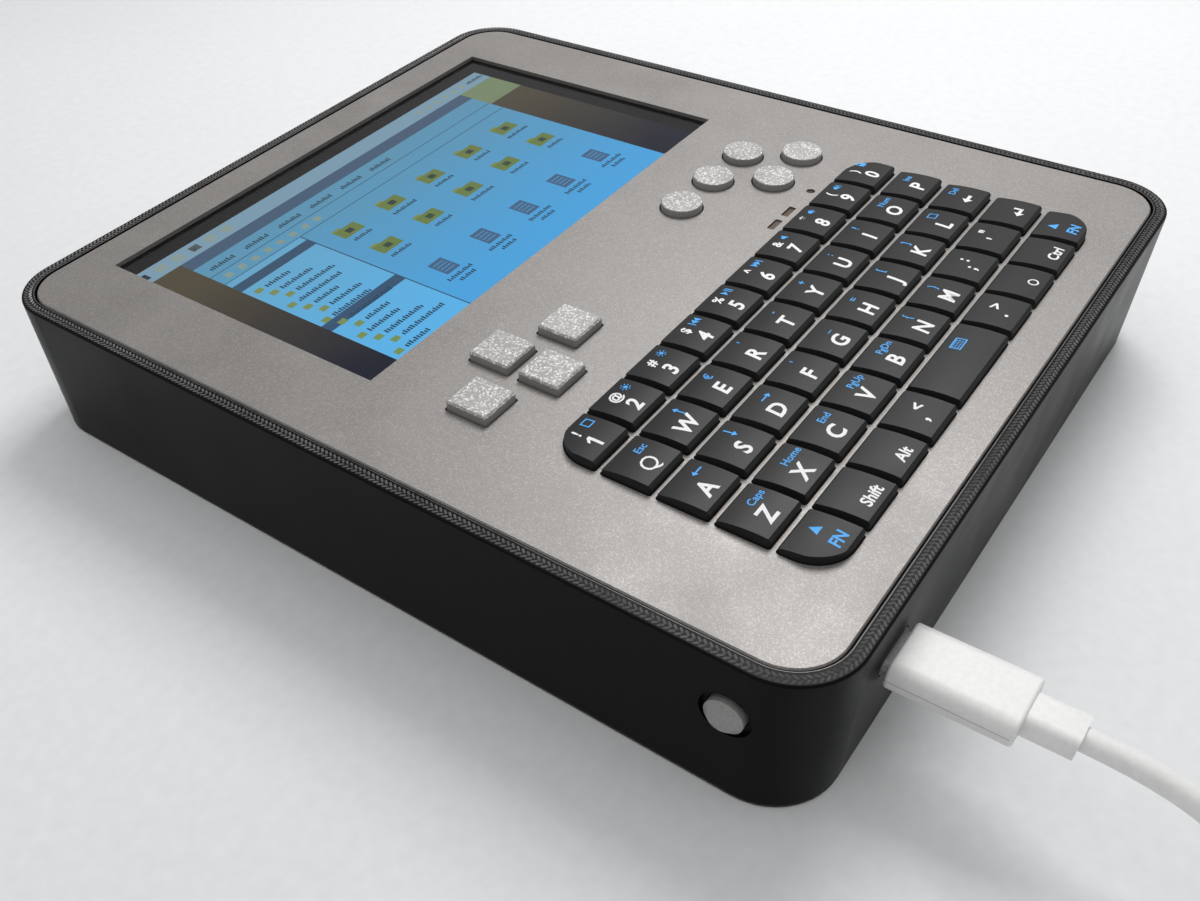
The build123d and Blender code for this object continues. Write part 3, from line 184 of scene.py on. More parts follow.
# Finishes
BLOTCH_LOW, BLOTCH_HIGH = 0.3, 0.7
GLOSS_SPREAD = 0.05
FLECK_BUMP = 0.5
# The painted glints fade out below the given height.
GLINT_FADE = 0.1 * MM
GLINTS_BELOW_TOP = 0.15 * MM
GLASS_BEND = 1.3
GLASS_TINT = (0.96, 0.98, 1.0)
UNLIT_SCREEN = (0.004, 0.004, 0.004)
BLEND_NEAR, BLEND_FAR = 0.012, 0.058
BLEND_NOISE = 70.0
FADE_FROM, FADE_TO = 0.25, 0.9


def new_finish(name, roughness, metallic=0.0, shine=0.5):
    """An empty material: (material, its tree, its main shader)."""
    material = bpy.data.materials.new(name)
    material.use_nodes = True
    tree = material.node_tree
    tree.nodes.clear()
    shader = add(tree, "ShaderNodeBsdfPrincipled", {"Roughness": roughness, "Metallic": metallic,
                                                    "Specular IOR Level": shine})
    add(tree, "ShaderNodeOutputMaterial", {"Surface": shader.outputs[0]})
    return material, tree, shader


def grained(name, dark, light, roughness, fine=2500.0, broad=70.0, bump=0.25, depth=0.02,
            metallic=0.0, shine=0.5):
    """Moulded, painted or drawn stuff: two colours in a grain, uneven gloss and fine bumps."""
    material, tree, shader = new_finish(name, roughness, metallic, shine)
    inputs = {"Broad": broad, "Fine": fine, "Dark": opaque(dark), "Light": opaque(light)}
    grain = add(tree, "ShaderNodeGroup", inputs, node_tree=GRAIN).outputs
    gloss = ranged(tree, grain["Blotch"], BLOTCH_LOW, BLOTCH_HIGH, roughness - GLOSS_SPREAD,
                   roughness + GLOSS_SPREAD)
    feed(tree, shader, {"Base Color": grain["Colour"], "Roughness": gloss,
                        "Normal": bumps(tree, grain["Height"], bump, depth)})
    return material


def glittering(name, dark, light, bright, roughness, scale, threshold, depth, metallic, above):
    """A grained finish with bright flecks that lie at their own levels, over a given height: glitter
    painted brighter as glints, kept to the part above that height, such as a button's lit top.
    """
    material = grained(name, dark, light, roughness, fine=scale, metallic=metallic)
    tree = material.node_tree
    shader = only_node(tree, "BSDF_PRINCIPLED")
    ground = shader.inputs["Base Color"].links[0].from_socket
    flecks = add(tree, "ShaderNodeGroup", {"Scale": scale, "Threshold": threshold},
                 node_tree=GLITTER).outputs
    level = coordinate(tree, object_place(tree), "Z")
    # The flecks are painted only near and over the given height: painted glints on a part's lit top.
    top = ranged(tree, level, above - GLINT_FADE, above)
    glint_mask = calculated(tree, "MULTIPLY", flecks["Mask"], top)
    height = calculated(tree, "MULTIPLY", flecks["Height"], top)
    feed(tree, shader, {"Base Color": mixed(tree, glint_mask, ground, opaque(bright)),
                        "Normal": bumps(tree, height, FLECK_BUMP, depth)})
    return material


def clear_glass():
    """The screen's cover glass: clear and smooth, with a faint unevenness in its tint."""
    material, tree, shader = new_finish("screen_glass", 0.0, shine=0.25)
    inputs = {"Broad": 20.0, "Fine": 300.0, "Dark": opaque(GLASS_TINT), "Light": PLAIN_WHITE}
    grain = add(tree, "ShaderNodeGroup", inputs, node_tree=GRAIN).outputs
    feed(tree, shader, {"Transmission Weight": 1.0, "IOR": GLASS_BEND, "Base Color": grain["Colour"]})
    return material


def lit(name, near, far, wave=0.012):
    """A lit part of the picture, from one colour at its near edge to another at its far edge,
    with a wavy change between them."""
    material, tree, shader = new_finish(name, 0.6, shine=0.0)
    place = object_place(tree)
    noise = add(tree, "ShaderNodeTexNoise", {"Vector": place, "Scale": BLEND_NOISE}).outputs["Fac"]
    drift = calculated(tree, "MULTIPLY_ADD", noise, wave, coordinate(tree, place, "Y"))
    share = ranged(tree, drift, BLEND_NEAR + wave / 2, BLEND_FAR + wave / 2)
    feed(tree, shader, {"Base Color": opaque(UNLIT_SCREEN), "Emission Strength": 1.0,
                        "Emission Color": mixed(tree, share, opaque(near), opaque(far))})
    return material


def floor_finish():
    """A pale floor, which far from the object runs out into the white surround."""
    material = grained("floor_pale", (0.74, 0.75, 0.76), (0.79, 0.80, 0.81), 0.75, fine=400.0, broad=6.0)
    tree = material.node_tree
    surface = only_node(tree, "OUTPUT_MATERIAL").inputs["Surface"]
    plain = surface.links[0].from_socket
    distance = add(tree, "ShaderNodeVectorMath", {0: object_place(tree)}, operation="LENGTH")
    far = ranged(tree, distance.outputs["Value"], FADE_FROM, FADE_TO, interpolation_type="SMOOTHSTEP")
    seen = add(tree, "ShaderNodeLightPath").outputs["Is Camera Ray"]
    share = calculated(tree, "MULTIPLY", far, seen)
    white = add(tree, "ShaderNodeEmission", {"Color": PLAIN_WHITE, "Strength": 1.0})
    both = add(tree, "ShaderNodeMixShader", {0: share, 1: plain, 2: white.outputs[0]})
    tree.links.new(both.outputs[0], surface)
    return material


FINISHES = {
    "case_black": grained("case_black", (0.0025, 0.0027, 0.003), (0.004, 0.0043, 0.005), 0.34,
                          fine=1800.0, bump=0.12, shine=0.07),
    "panel_silver": glittering("panel_silver", (0.23, 0.217, 0.208), (0.27, 0.256, 0.246),
                               bright=(0.34, 0.325, 0.312), roughness=0.5, scale=5600.0,
                               threshold=0.6, depth=0.003, metallic=0.55, above=0.0),
    # The button's flecks lie only on its top face, where light falls: painted glints on the top.
    "button_silver": glittering("button_silver", (0.27, 0.265, 0.26), (0.37, 0.365, 0.36),
                                bright=(0.74, 0.73, 0.72), roughness=0.45, scale=3600.0,
                                threshold=0.6, depth=0.012, metallic=0.3,
                                above=BUTTON_TOP - GLINTS_BELOW_TOP),
    "key_charcoal": grained("key_charcoal", (0.012, 0.012, 0.013), (0.018, 0.018, 0.019), 0.42,
                            fine=3000.0, bump=0.3, shine=0.22),
    "screen_glass": clear_glass(),
    "screen_dark": grained("screen_dark", (0.003, 0.003, 0.004), (0.006, 0.006, 0.008), 0.3, shine=0.05),
    "tray_metal": grained("tray_metal", (0.5, 0.5, 0.52), (0.62, 0.62, 0.64), 0.35, metallic=0.9),
    "board_green": grained("board_green", (0.012, 0.09, 0.045), (0.02, 0.15, 0.07), 0.4, fine=900.0),
    "switch_black": grained("switch_black", (0.014, 0.014, 0.014), (0.028, 0.028, 0.028), 0.55,
                            fine=1500.0, bump=0.6, depth=0.06),
    "mat_rubber": grained("mat_rubber", (0.22, 0.22, 0.24), (0.28, 0.28, 0.30), 0.7),
    "light_clear": grained("light_clear", (0.05, 0.03, 0.02), (0.10, 0.06, 0.04), 0.25),
    "screw_steel": grained("screw_steel", (0.28, 0.28, 0.29), (0.40, 0.40, 0.41), 0.35, metallic=0.9),
    "insert_brass": grained("insert_brass", (0.55, 0.38, 0.14), (0.68, 0.48, 0.2), 0.35, metallic=0.9),
    "socket_steel": grained("socket_steel", (0.34, 0.34, 0.35), (0.44, 0.44, 0.45), 0.46, metallic=0.9),
    "ribbon_amber": grained("ribbon_amber", (0.36, 0.15, 0.03), (0.46, 0.2, 0.05), 0.45),
    "battery_foil": grained("battery_foil", (0.45, 0.45, 0.47), (0.58, 0.58, 0.6), 0.4, metallic=0.6),
    "wire_rubber": grained("wire_rubber", (0.35, 0.02, 0.02), (0.45, 0.03, 0.03), 0.55),
    "lead_white": grained("lead_white", (0.76, 0.76, 0.75), (0.84, 0.84, 0.83), 0.38, fine=1200.0,
                          bump=0.12),
}
# The braid, the rim's lip and the cover seam are the case's black plastic painted a lighter grey: painted
# glints.
GLINT_GREY_FINISH = grained("rim_braid_painted_glints", (0.050, 0.048, 0.048), (0.15, 0.145, 0.145), 0.3, fine=1400.0)
# A darker grey on the white plug's parting line: painted shade along the seam.
SEAM_SHADE_FINISH = grained("lead_seam_painted_shade", (0.34, 0.34, 0.33), (0.44, 0.44, 0.43), 0.5)
LEGEND_WHITE = grained("legend_white", (0.74, 0.74, 0.74), (0.84, 0.84, 0.84), 0.6)
LEGEND_BLUE = grained("legend_blue", (0.04, 0.32, 0.78), (0.07, 0.42, 0.92), 0.6)


def dress_nodes():
    """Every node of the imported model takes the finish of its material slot."""
    for part in frame["record"]["subparts"]:
        node = frame["nodes"][part["node"]]
        finish = FINISHES[part["material_slot"]]
        if not node.material_slots:
            node.data.materials.append(finish)
        for held in node.material_slots:
            held.material = finish


# Camera, floor and light
LENS_MM = 33.486
SENSOR_WIDTH_MM = 36.0
LENS_SHIFT = (0.0609, 0.1037)
NEAREST_SEEN = 0.005
CAMERA_PLACE = (-0.1544, -0.1058, 0.1387)
CAMERA_TURN = (42.9275, 2.8123, -53.3576)
SKY_LEVEL = 0.42
FLOOR_HALF = 3.0
FLOOR_DROP = 0.05 * MM


def make_camera():
    """The photograph's viewing angle and framing."""
    data = bpy.data.cameras.new("camera")
    data.lens = LENS_MM
    data.sensor_width = SENSOR_WIDTH_MM
    data.shift_x, data.shift_y = LENS_SHIFT
    data.clip_start = NEAREST_SEEN
    camera = bpy.data.objects.new("camera", data)
    camera.location = CAMERA_PLACE
    camera.rotation_euler = Euler([math.radians(angle) for angle in CAMERA_TURN])
    bpy.context.collection.objects.link(camera)
    bpy.context.scene.camera = camera


def soft_lamp(name, place, target, size, power):
    """A square lamp that looks at a target."""
    data = bpy.data.lights.new(name, "AREA")
    data.size = size
    data.energy = power
    lamp = bpy.data.objects.new(name, data)
    lamp.location = place
    aim = Vector(target) - Vector(place)
    lamp.rotation_euler = aim.to_track_quat("-Z", "Y").to_euler()
    bpy.context.collection.objects.link(lamp)


def make_sky():
    """A plain white surround that lights the object at a lower level than it shows."""
    world = bpy.data.worlds.new("sky")
    bpy.context.scene.world = world
    world.use_nodes = True
    tree = world.node_tree
    tree.nodes.clear()
    path = add(tree, "ShaderNodeLightPath").outputs
    seen = calculated(tree, "MAXIMUM", path["Is Camera Ray"], path["Is Transmission Ray"])
    lighting = add(tree, "ShaderNodeBackground", {"Color": PLAIN_WHITE, "Strength": SKY_LEVEL})
    showing = add(tree, "ShaderNodeBackground", {"Color": PLAIN_WHITE, "Strength": 1.0})
    both = add(tree, "ShaderNodeMixShader", {0: seen, 1: lighting.outputs[0], 2: showing.outputs[0]})
    add(tree, "ShaderNodeOutputWorld", {"Surface": both.outputs[0]})


def make_floor():
    """A pale floor just under the resting face."""
    corners = [(-1, -1), (1, -1), (1, 1), (-1, 1)]
    mesh = bpy.data.meshes.new("floor")
    points = [(x * FLOOR_HALF, y * FLOOR_HALF, -FLOOR_DROP) for x, y in corners]
    mesh.from_pydata(points, [], [(0, 1, 2, 3)])
    floor = bpy.data.objects.new("floor", mesh)
    mesh.materials.append(floor_finish())
    bpy.context.collection.objects.link(floor)


# Meshes
QUARTER_POINTS = 25


def mesh_points(mesh):
    """A mesh's points, as rows of x, y and z."""
    points = np.empty(3 * len(mesh.vertices))
    mesh.vertices.foreach_get("co", points)
    return points.reshape(-1, 3)


def mesh_faces(mesh):
    """A mesh's faces, as lists of their points' numbers."""
    return [list(face.vertices) for face in mesh.polygons]


def put(name, points, faces, finish, body):
    """A new piece from its points and faces, riding on a body."""
    mesh = bpy.data.meshes.new(name)
    mesh.from_pydata(np.asarray(points).reshape(-1, 3).tolist(), [], faces)
    mesh.materials.append(finish)
    piece = bpy.data.objects.new(name, mesh)
    bpy.context.collection.objects.link(piece)
    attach(piece, body)
    return piece


def around(low, high, corner, inset, count):
    """Places evenly spaced round a rounded rectangle: x, y and the angle of the way out.
    Four quarter circles joined by straight sides, read at equal lengths along the line."""
    middle = (np.array(low[:2]) + np.array(high[:2])) / 2
    reach = (np.array(high[:2]) - np.array(low[:2])) / 2 - corner
    quarter = np.linspace(0, math.pi / 2, QUARTER_POINTS)
    angles = np.concatenate([quarter + turn * math.pi / 2 for turn in range(4)])
    signs = np.repeat([(1, 1), (-1, 1), (-1, -1), (1, -1)], QUARTER_POINTS, axis=0)
    line = middle + signs * reach + (corner - inset) * np.stack([np.cos(angles), np.sin(angles)], 1)
    line = np.vstack([line, line[:1]])
    angles = np.append(angles, 2 * math.pi)
    along = np.append(0.0, np.cumsum(np.hypot(*np.diff(line, axis=0).T)))
    at = np.linspace(0, along[-1], count, endpoint=False)
    return [np.interp(at, along, values) for values in (line[:, 0], line[:, 1], angles)]


def ring_faces(steps, sides):
    """Four-sided faces of a closed grid: a closed profile carried round a closed line."""
    grid = np.arange(steps * sides).reshape(steps, sides)
    ahead = np.roll(grid, -1, 0)
    faces = np.stack([grid, ahead, np.roll(ahead, -1, 1), np.roll(grid, -1, 1)], -1)
    return faces.reshape(-1, 4).tolist()


def thin_ring(name, line, height, profile, finish, body):
    """A small profile, given as (outwards, upwards) points in millimetres, carried round a
    line: each point lies outwards and upwards from every place of the line."""
    x, y, out = line
    across, up = np.array(profile).T * MM
    points = np.stack([
        x[:, None] + np.cos(out)[:, None] * across,
        y[:, None] + np.sin(out)[:, None] * across,
        height + np.zeros_like(x)[:, None] + up,
    ], -1)
    put(name, points, ring_faces(len(x), len(across)), finish, body)


# Case
RIM_STEPS = 480
BRAID_PITCH = 0.92 * MM
BRAID_LENGTH = 1.12 * MM
BRAID_WIDTH = 0.38 * MM
BRAID_HEIGHT = 0.13 * MM
BRAID_SLANT = math.radians(38)
OUTER_ROW_INSET = 0.85 * MM
INNER_ROW_INSET = 1.62 * MM
RIM_LIP_INSET = 2.3 * MM
RIM_LIP = [(0.08, 0), (0.04, 0.09), (-0.04, 0.09), (-0.08, 0)]
COVER_LIP = [(-0.1, -0.06), (0.03, -0.03), (0.03, 0.03), (-0.1, 0.06)]


def braid_row(inset, slant):
    """Small pointed ridges, one after the other, each turned by the slant from the rim's way.
    A ridge is a long hexagon with a line of two points above its middle."""
    rim_length = 4 * (CASE_HIGH[0] + CASE_HIGH[1])
    x, y, out = around(CASE_LOW, CASE_HIGH, CASE_CORNER, inset, int(rim_length / BRAID_PITCH))
    end, side = BRAID_LENGTH / 2, BRAID_WIDTH / 2
    ridge = np.array([
        (end, 0, 0), (end - side, side, 0), (side - end, side, 0), (-end, 0, 0),
        (side - end, -side, 0), (end - side, -side, 0),
        (end - side, 0, BRAID_HEIGHT), (side - end, 0, BRAID_HEIGHT),
    ])
    turn = out + math.pi / 2 + slant
    cos, sin = np.cos(turn)[:, None], np.sin(turn)[:, None]
    points = np.stack([
        x[:, None] + cos * ridge[:, 0] - sin * ridge[:, 1],
        y[:, None] + sin * ridge[:, 0] + cos * ridge[:, 1],
        CASE_HIGH[2] + np.zeros_like(cos) + ridge[:, 2],
    ], -1)
    first = len(ridge) * np.arange(len(x))[:, None, None]
    corners = first + np.array([(0, 1, 6), (5, 0, 6), (2, 3, 7), (3, 4, 7)])
    flanks = first + np.array([(1, 2, 7, 6), (4, 5, 6, 7)])
    under = first + np.array([(5, 4, 3, 2, 1, 0)])
    faces = corners.reshape(-1, 3).tolist() + flanks.reshape(-1, 4).tolist() + under.reshape(-1, 6).tolist()
    return points, faces


def rim_braid_painted_glints():
    """Two rows of ridges that lean towards each other, with a fine line along the crevice, all in a lighter
    grey than the black case: painted glints.
    """
    rows = [("braid_outer", OUTER_ROW_INSET, BRAID_SLANT), ("braid_inner", INNER_ROW_INSET, -BRAID_SLANT)]
    for name, inset, slant in rows:
        points, faces = braid_row(inset, slant)
        put(name, points, faces, GLINT_GREY_FINISH, "device")
    line = around(CASE_LOW, CASE_HIGH, CASE_CORNER, RIM_LIP_INSET, RIM_STEPS)
    thin_ring("rim_lip", line, CASE_HIGH[2], RIM_LIP, GLINT_GREY_FINISH, "device")


def cover_seam():
    """The fine edge of the bottom cover where it meets the walls, in the same lighter grey: a painted glint
    line.
    """
    line = around(CASE_LOW, CASE_HIGH, CASE_CORNER, 0.0, RIM_STEPS)
    thin_ring("cover_seam", line, CASE_LOW[2], COVER_LIP, GLINT_GREY_FINISH, "device")


# Screen. Rectangles are (left, near, right, far) in millimetres. Those of a folder, a paper
# and a list sign are measured from its own place. A row of signs is its first rectangle, the
# step to the next one and their count. A paper's name is two words, and each of them is how
# far it starts under the paper, its width and its shift.
LAYER_STEP = 0.01 * MM
BLACK_EDGE = 0.3
PICTURE = (-58.5, 3.45, 49.5, 68.25)
WINDOW = (-46.5, 7.4, 38.3, 60.0)
SIDE_EDGE = -26.7
SIDE_FAR = 51.0
BAR_NEAR = 63.5
BAR_FAR = 68.2
PATCH_NEAR = 54.5
MENU_NEAR = 55.0
THIN_RULE = 0.2
THICK_RULE = 0.3
CHOSEN_ROWS = (46.6, 23.8)
CHOSEN_HEIGHT = 2.6
STROKE_PITCH = 0.62
STROKE_WIDTH = 0.4
STROKE_WAVE = 7.0
LOWEST_STROKE = 0.55
COLUMNS = -19.7 + 12.5 * np.arange(5)
FOLDER_ROWS = (44.5, 34.5)
FOLDER = (-2.8, -1.7, 2.8, 1.7)
FOLDER_TAB = (-2.8, 1.7, -0.6, 2.4)
FOLDER_SIGN = (-0.8, -0.8, 0.9, 0.7)
FOLDER_NAME_DROP = 3.9
FOLDER_NAME_WIDTH = 4.4
NAME_HEIGHT = 1.0
PAPERS_NEAR = 18.0
PAPER = (-1.9, 0.0, 1.9, 5.0)
PAPER_LINE = (-1.4, 0.9, 1.4, 1.2)
PAPER_LINE_STEP = 0.95
PAPER_LINES = 4
PAPER_NAMES = [(1.9, 6.8, 0.3), (3.6, 4.0, 0.0)]
LIST_FAR = 44.2
LIST_STEP = 2.85
LIST_ROWS = 13
LIST_INDENT = 1.2
LIST_SIGN = (1.2, -0.7, 2.9, 0.7)
LIST_WORD_PLACE = (3.8, -0.6)
LIST_WORD_HEIGHT = 1.2
LIST_WORD_WIDTHS = (6.0, 7.7, 9.4, 11.1)
MENU_WORDS = 6
MENU_STEP = 9.0
MENU_INSET = 2.0
MENU_WORDS_NEAR = 56.7
MENU_WORD_WIDTH = 5.6
MENU_WORD_HEIGHT = 1.3
TOOL_SIGNS = ((-44.5, 52.2, -42.9, 53.8), 3.4, 8)
BAR_LEFT_SIGNS = ((-50.4, 64.7, -48.0, 67.1), 4.2, 5)
BAR_RIGHT_SIGNS = ((26.0, 65.0, 27.5, 66.7), 3.0, 6)
BAR_DARK_SIGNS = ((-54.6, 64.9, -52.4, 66.9), 12.8, 2)
CLOCK_PLACE = (43.6, 65.3)
CLOCK_WIDTH = 5.0
CLOCK_HEIGHT = 1.2
# Each set of marks: its layer, its light's name and the colours at the near and the far edge
MARK_LIGHTS = {
    "folders": (6, "folder_light", (0.12, 0.21, 0.06), (0.15, 0.19, 0.05)),
    "folder_tabs": (6, "tab_light", (0.17, 0.27, 0.09), (0.20, 0.24, 0.08)),
    "papers": (6, "paper_light", (0.05, 0.12, 0.24), (0.06, 0.12, 0.20)),
    "paper_lines": (7, "line_light", (0.07, 0.26, 0.48), (0.10, 0.26, 0.40)),
    "words": (7, "word_light", (0.012, 0.05, 0.10), (0.02, 0.05, 0.08)),
    "light_signs": (7, "sign_light", (0.10, 0.20, 0.12), (0.24, 0.32, 0.30)),
    "dark_signs": (7, "dark_sign_light", (0.05, 0.10, 0.04), (0.02, 0.03, 0.05)),
}


def light_panel(name, rectangles, layer, finish):
    """Flat panels inside the cover glass, one layer step above another."""
    left, near, right, far = np.array(rectangles, float).reshape(-1, 4).T * MM
    level = np.full_like(left, GLASS_LOW[2] + layer * LAYER_STEP)
    corners = [(left, near, level), (right, near, level), (right, far, level), (left, far, level)]
    points = np.stack([np.stack(corner, -1) for corner in corners], 1)
    faces = np.arange(4 * len(left)).reshape(-1, 4).tolist()
    put(name, points, faces, finish, "device")


def picture_windows():
    """The task bar, the title band, the file window and its side panel."""
    left, near, right, far = WINDOW
    low = np.array(GLASS_LOW[:2]) / MM + BLACK_EDGE
    high = np.array(GLASS_HIGH[:2]) / MM - BLACK_EDGE
    light_panel("screen_border", [(*low, *high)], 1, FINISHES["screen_dark"])
    light_panel("wallpaper", [PICTURE], 2,
                lit("wallpaper_light", (0.007, 0.009, 0.022), (0.075, 0.062, 0.036)))
    light_panel("wallpaper_patch", [(right, PATCH_NEAR, PICTURE[2], BAR_NEAR)], 3,
                lit("patch_light", (0.06, 0.06, 0.05), (0.18, 0.24, 0.13), wave=0.004))
    light_panel("task_bar", [(PICTURE[0], BAR_NEAR, PICTURE[2], BAR_FAR)], 3,
                lit("task_bar_light", (0.17, 0.30, 0.42), (0.19, 0.32, 0.42)))
    light_panel("title_band", [(left, far, right, BAR_NEAR)], 3,
                lit("title_light", (0.05, 0.11, 0.19), (0.055, 0.10, 0.17)))
    light_panel("file_window", [(left, near, right, far)], 3,
                lit("window_light", (0.065, 0.36, 0.72), (0.10, 0.29, 0.44)))
    light_panel("side_panel", [(left, near, SIDE_EDGE, SIDE_FAR)], 4,
                lit("side_light", (0.10, 0.44, 0.80), (0.13, 0.36, 0.54)))
    rules = [(left, y, right, y + THIN_RULE) for y in (MENU_NEAR, SIDE_FAR)]
    rules.append((SIDE_EDGE - THICK_RULE / 2, near, SIDE_EDGE + THICK_RULE / 2, SIDE_FAR))
    rules.append((left, near, right, near + THICK_RULE))
    chosen = [(left, y, SIDE_EDGE, y + CHOSEN_HEIGHT) for y in CHOSEN_ROWS]
    light_panel("picture_rules", rules + chosen, 5,
                lit("rule_light", (0.03, 0.08, 0.16), (0.035, 0.08, 0.14)))


def moved(rectangle, x, y):
    """A rectangle carried to a place."""
    left, near, right, far = rectangle
    return (left + x, near + y, right + x, far + y)


def in_a_row(rectangle, step, count):
    """A rectangle and its copies to the right, one step apart."""
    return [moved(rectangle, step * index, 0) for index in range(count)]


def row_of_strokes(left, near, width, height):
    """Upright strokes of changing height that stand for a word too small to read."""
    starts = np.arange(left, left + width, STROKE_PITCH)
    shares = LOWEST_STROKE + (1 - LOWEST_STROKE) * np.abs(np.sin(STROKE_WAVE * starts + near))
    return [(x, near, x + STROKE_WIDTH, near + height * share) for x, share in zip(starts, shares)]


def folder_marks(marks):
    """Two rows of folders, each with its tab, its sign and its name."""
    for row, y in enumerate(FOLDER_ROWS):
        for column, x in enumerate(COLUMNS):
            marks["folders"].append(moved(FOLDER, x, y))
            marks["folder_tabs"].append(moved(FOLDER_TAB, x, y))
            marks["dark_signs"].append(moved(FOLDER_SIGN, x, y))
            width = FOLDER_NAME_WIDTH + (row + 2 * column) % 3
            marks["words"] += row_of_strokes(x - width / 2, y - FOLDER_NAME_DROP, width, NAME_HEIGHT)


def paper_marks(marks):
    """A row of written papers, each with a name of two words, one under the other. Every
    second paper's first word is shifted a little."""
    for column, x in enumerate(COLUMNS):
        marks["papers"].append(moved(PAPER, x, PAPERS_NEAR))
        for line in range(PAPER_LINES):
            marks["paper_lines"].append(moved(PAPER_LINE, x, PAPERS_NEAR + line * PAPER_LINE_STEP))
        for drop, width, shift in PAPER_NAMES:
            left = x - width / 2 - shift * (column % 2)
            marks["words"] += row_of_strokes(left, PAPERS_NEAR - drop, width, NAME_HEIGHT)


def side_list_marks(marks):
    """The side panel's list: a sign and a word in each row, set in by up to two steps."""
    for index in range(LIST_ROWS):
        x = WINDOW[0] + LIST_INDENT * (index % 3)
        y = LIST_FAR - index * LIST_STEP
        marks["folder_tabs"].append(moved(LIST_SIGN, x, y))
        marks["words"] += row_of_strokes(x + LIST_WORD_PLACE[0], y + LIST_WORD_PLACE[1],
                                         LIST_WORD_WIDTHS[index % 4], LIST_WORD_HEIGHT)


def bar_marks(marks):
    """The menu's words, the tool signs under them, and the task bar's signs and clock."""
    for index in range(MENU_WORDS):
        left = WINDOW[0] + MENU_INSET + index * MENU_STEP
        marks["words"] += row_of_strokes(left, MENU_WORDS_NEAR, MENU_WORD_WIDTH, MENU_WORD_HEIGHT)
    for signs in (TOOL_SIGNS, BAR_LEFT_SIGNS, BAR_RIGHT_SIGNS):
        marks["light_signs"] += in_a_row(*signs)
    marks["dark_signs"] += in_a_row(*BAR_DARK_SIGNS)
    marks["words"] += row_of_strokes(*CLOCK_PLACE, CLOCK_WIDTH, CLOCK_HEIGHT)


def picture_marks():
    """Folders, papers, words as rows of strokes and the signs of the task bar."""
    marks = {name: [] for name in MARK_LIGHTS}
    folder_marks(marks)
    paper_marks(marks)
    side_list_marks(marks)
    bar_marks(marks)
    for name, (layer, light, near, far) in MARK_LIGHTS.items():
        light_panel(name, marks[name], layer, lit(light, near, far))


# Key icons, one unit high
ARROW_HEAD = np.array([(0.05, -0.35), (0.5, 0.0), (0.05, 0.35)])
SPEAKER_HORN = np.array([(-0.25, -0.2), (0.05, -0.45), (0.05, 0.45), (-0.25, 0.2)])
SOUND_STEP = 0.18
FRAME_THICK = 0.12
SUN_RADIUS = 0.22
SUN_CORNERS = 12
SUN_RAYS = 8
RING_PIECES = 12
RING_HOLE = 0.7
KEYBOARD_WIDTH = 1.7
KEYBOARD_ROWS = (-0.2, 0.05, 0.3)
KEYBOARD_COLUMNS = -0.65 + 0.26 * np.arange(5)
KEYBOARD_KEY = 0.14


def bar_shape(left, near, right, far):
    """The corners of an upright rectangle."""
    return np.array([(left, near), (right, near), (right, far), (left, far)])


def turned(shape, angle):
    """A shape turned about the origin by an angle in degrees."""
    cos, sin = math.cos(math.radians(angle)), math.sin(math.radians(angle))
    return shape @ np.array([(cos, sin), (-sin, cos)])


def arrow_icon(angle, tail, thick):
    """A shaft and a head, turned by an angle; 0 points along +X."""
    return [turned(bar_shape(-tail, -thick / 2, 0.05, thick / 2), angle), turned(ARROW_HEAD, angle)]


def side_triangle(x, way):
    """A triangle that points along X; way is 1 or -1."""
    corners = np.array([(x - 0.25 * way, -0.45), (x + 0.25 * way, 0.0), (x - 0.25 * way, 0.45)])
    return corners[::way]


def skip_icon(way):
    """Two triangles that point at a bar."""
    middle = 0.52 * way
    return [side_triangle(-0.35 * way, way), side_triangle(0.13 * way, way),
            bar_shape(middle - 0.07, -0.45, middle + 0.07, 0.45)]


def play_icon():
    """A triangle and two bars."""
    return [side_triangle(-0.3, 1), bar_shape(0.08, -0.45, 0.22, 0.45), bar_shape(0.36, -0.45, 0.5, 0.45)]


def speaker_icon(waves):
    """A small box, its horn and short bars for the sound."""
    steps = SOUND_STEP * np.arange(waves)
    bars = [bar_shape(0.16 + step, -0.2 - step, 0.26 + step, 0.2 + step) for step in steps]
    return [bar_shape(-0.5, -0.2, -0.25, 0.2), SPEAKER_HORN] + bars


def lock_icon():
    """A block with a square bow on top."""
    return [bar_shape(-0.38, -0.5, 0.38, 0.1), bar_shape(-0.26, 0.1, -0.14, 0.4),
            bar_shape(0.14, 0.1, 0.26, 0.4), bar_shape(-0.26, 0.4, 0.26, 0.5)]


def figure_one():
    """A one with a flag, because the font's own is a bare stroke."""
    return [bar_shape(-0.06, -0.5, 0.14, 0.5),
            np.array([(-0.06, 0.5), (-0.32, 0.26), (-0.32, 0.08), (-0.06, 0.26)])]


def frame_icon(width):
    """A rectangle's outline, as four bars."""
    x, y = width / 2, 0.5
    inner_x, inner_y = x - FRAME_THICK, y - FRAME_THICK
    return [bar_shape(-x, -y, x, -inner_y), bar_shape(-x, inner_y, x, y),
            bar_shape(-x, -inner_y, -inner_x, inner_y), bar_shape(inner_x, -inner_y, x, inner_y)]


def sun_icon():
    """A disc with eight rays."""
    turn = np.linspace(0, 2 * math.pi, SUN_CORNERS, endpoint=False)
    disc = SUN_RADIUS * np.stack([np.cos(turn), np.sin(turn)], 1)
    ray = bar_shape(0.32, -0.05, 0.5, 0.05)
    return [disc] + [turned(ray, 360 / SUN_RAYS * index) for index in range(SUN_RAYS)]


def keyboard_icon():
    """An outline with three rows of small keys."""
    half = KEYBOARD_KEY / 2
    keys = [bar_shape(x, y - half, x + KEYBOARD_KEY, y + half)
            for y in KEYBOARD_ROWS for x in KEYBOARD_COLUMNS]
    return frame_icon(KEYBOARD_WIDTH) + keys


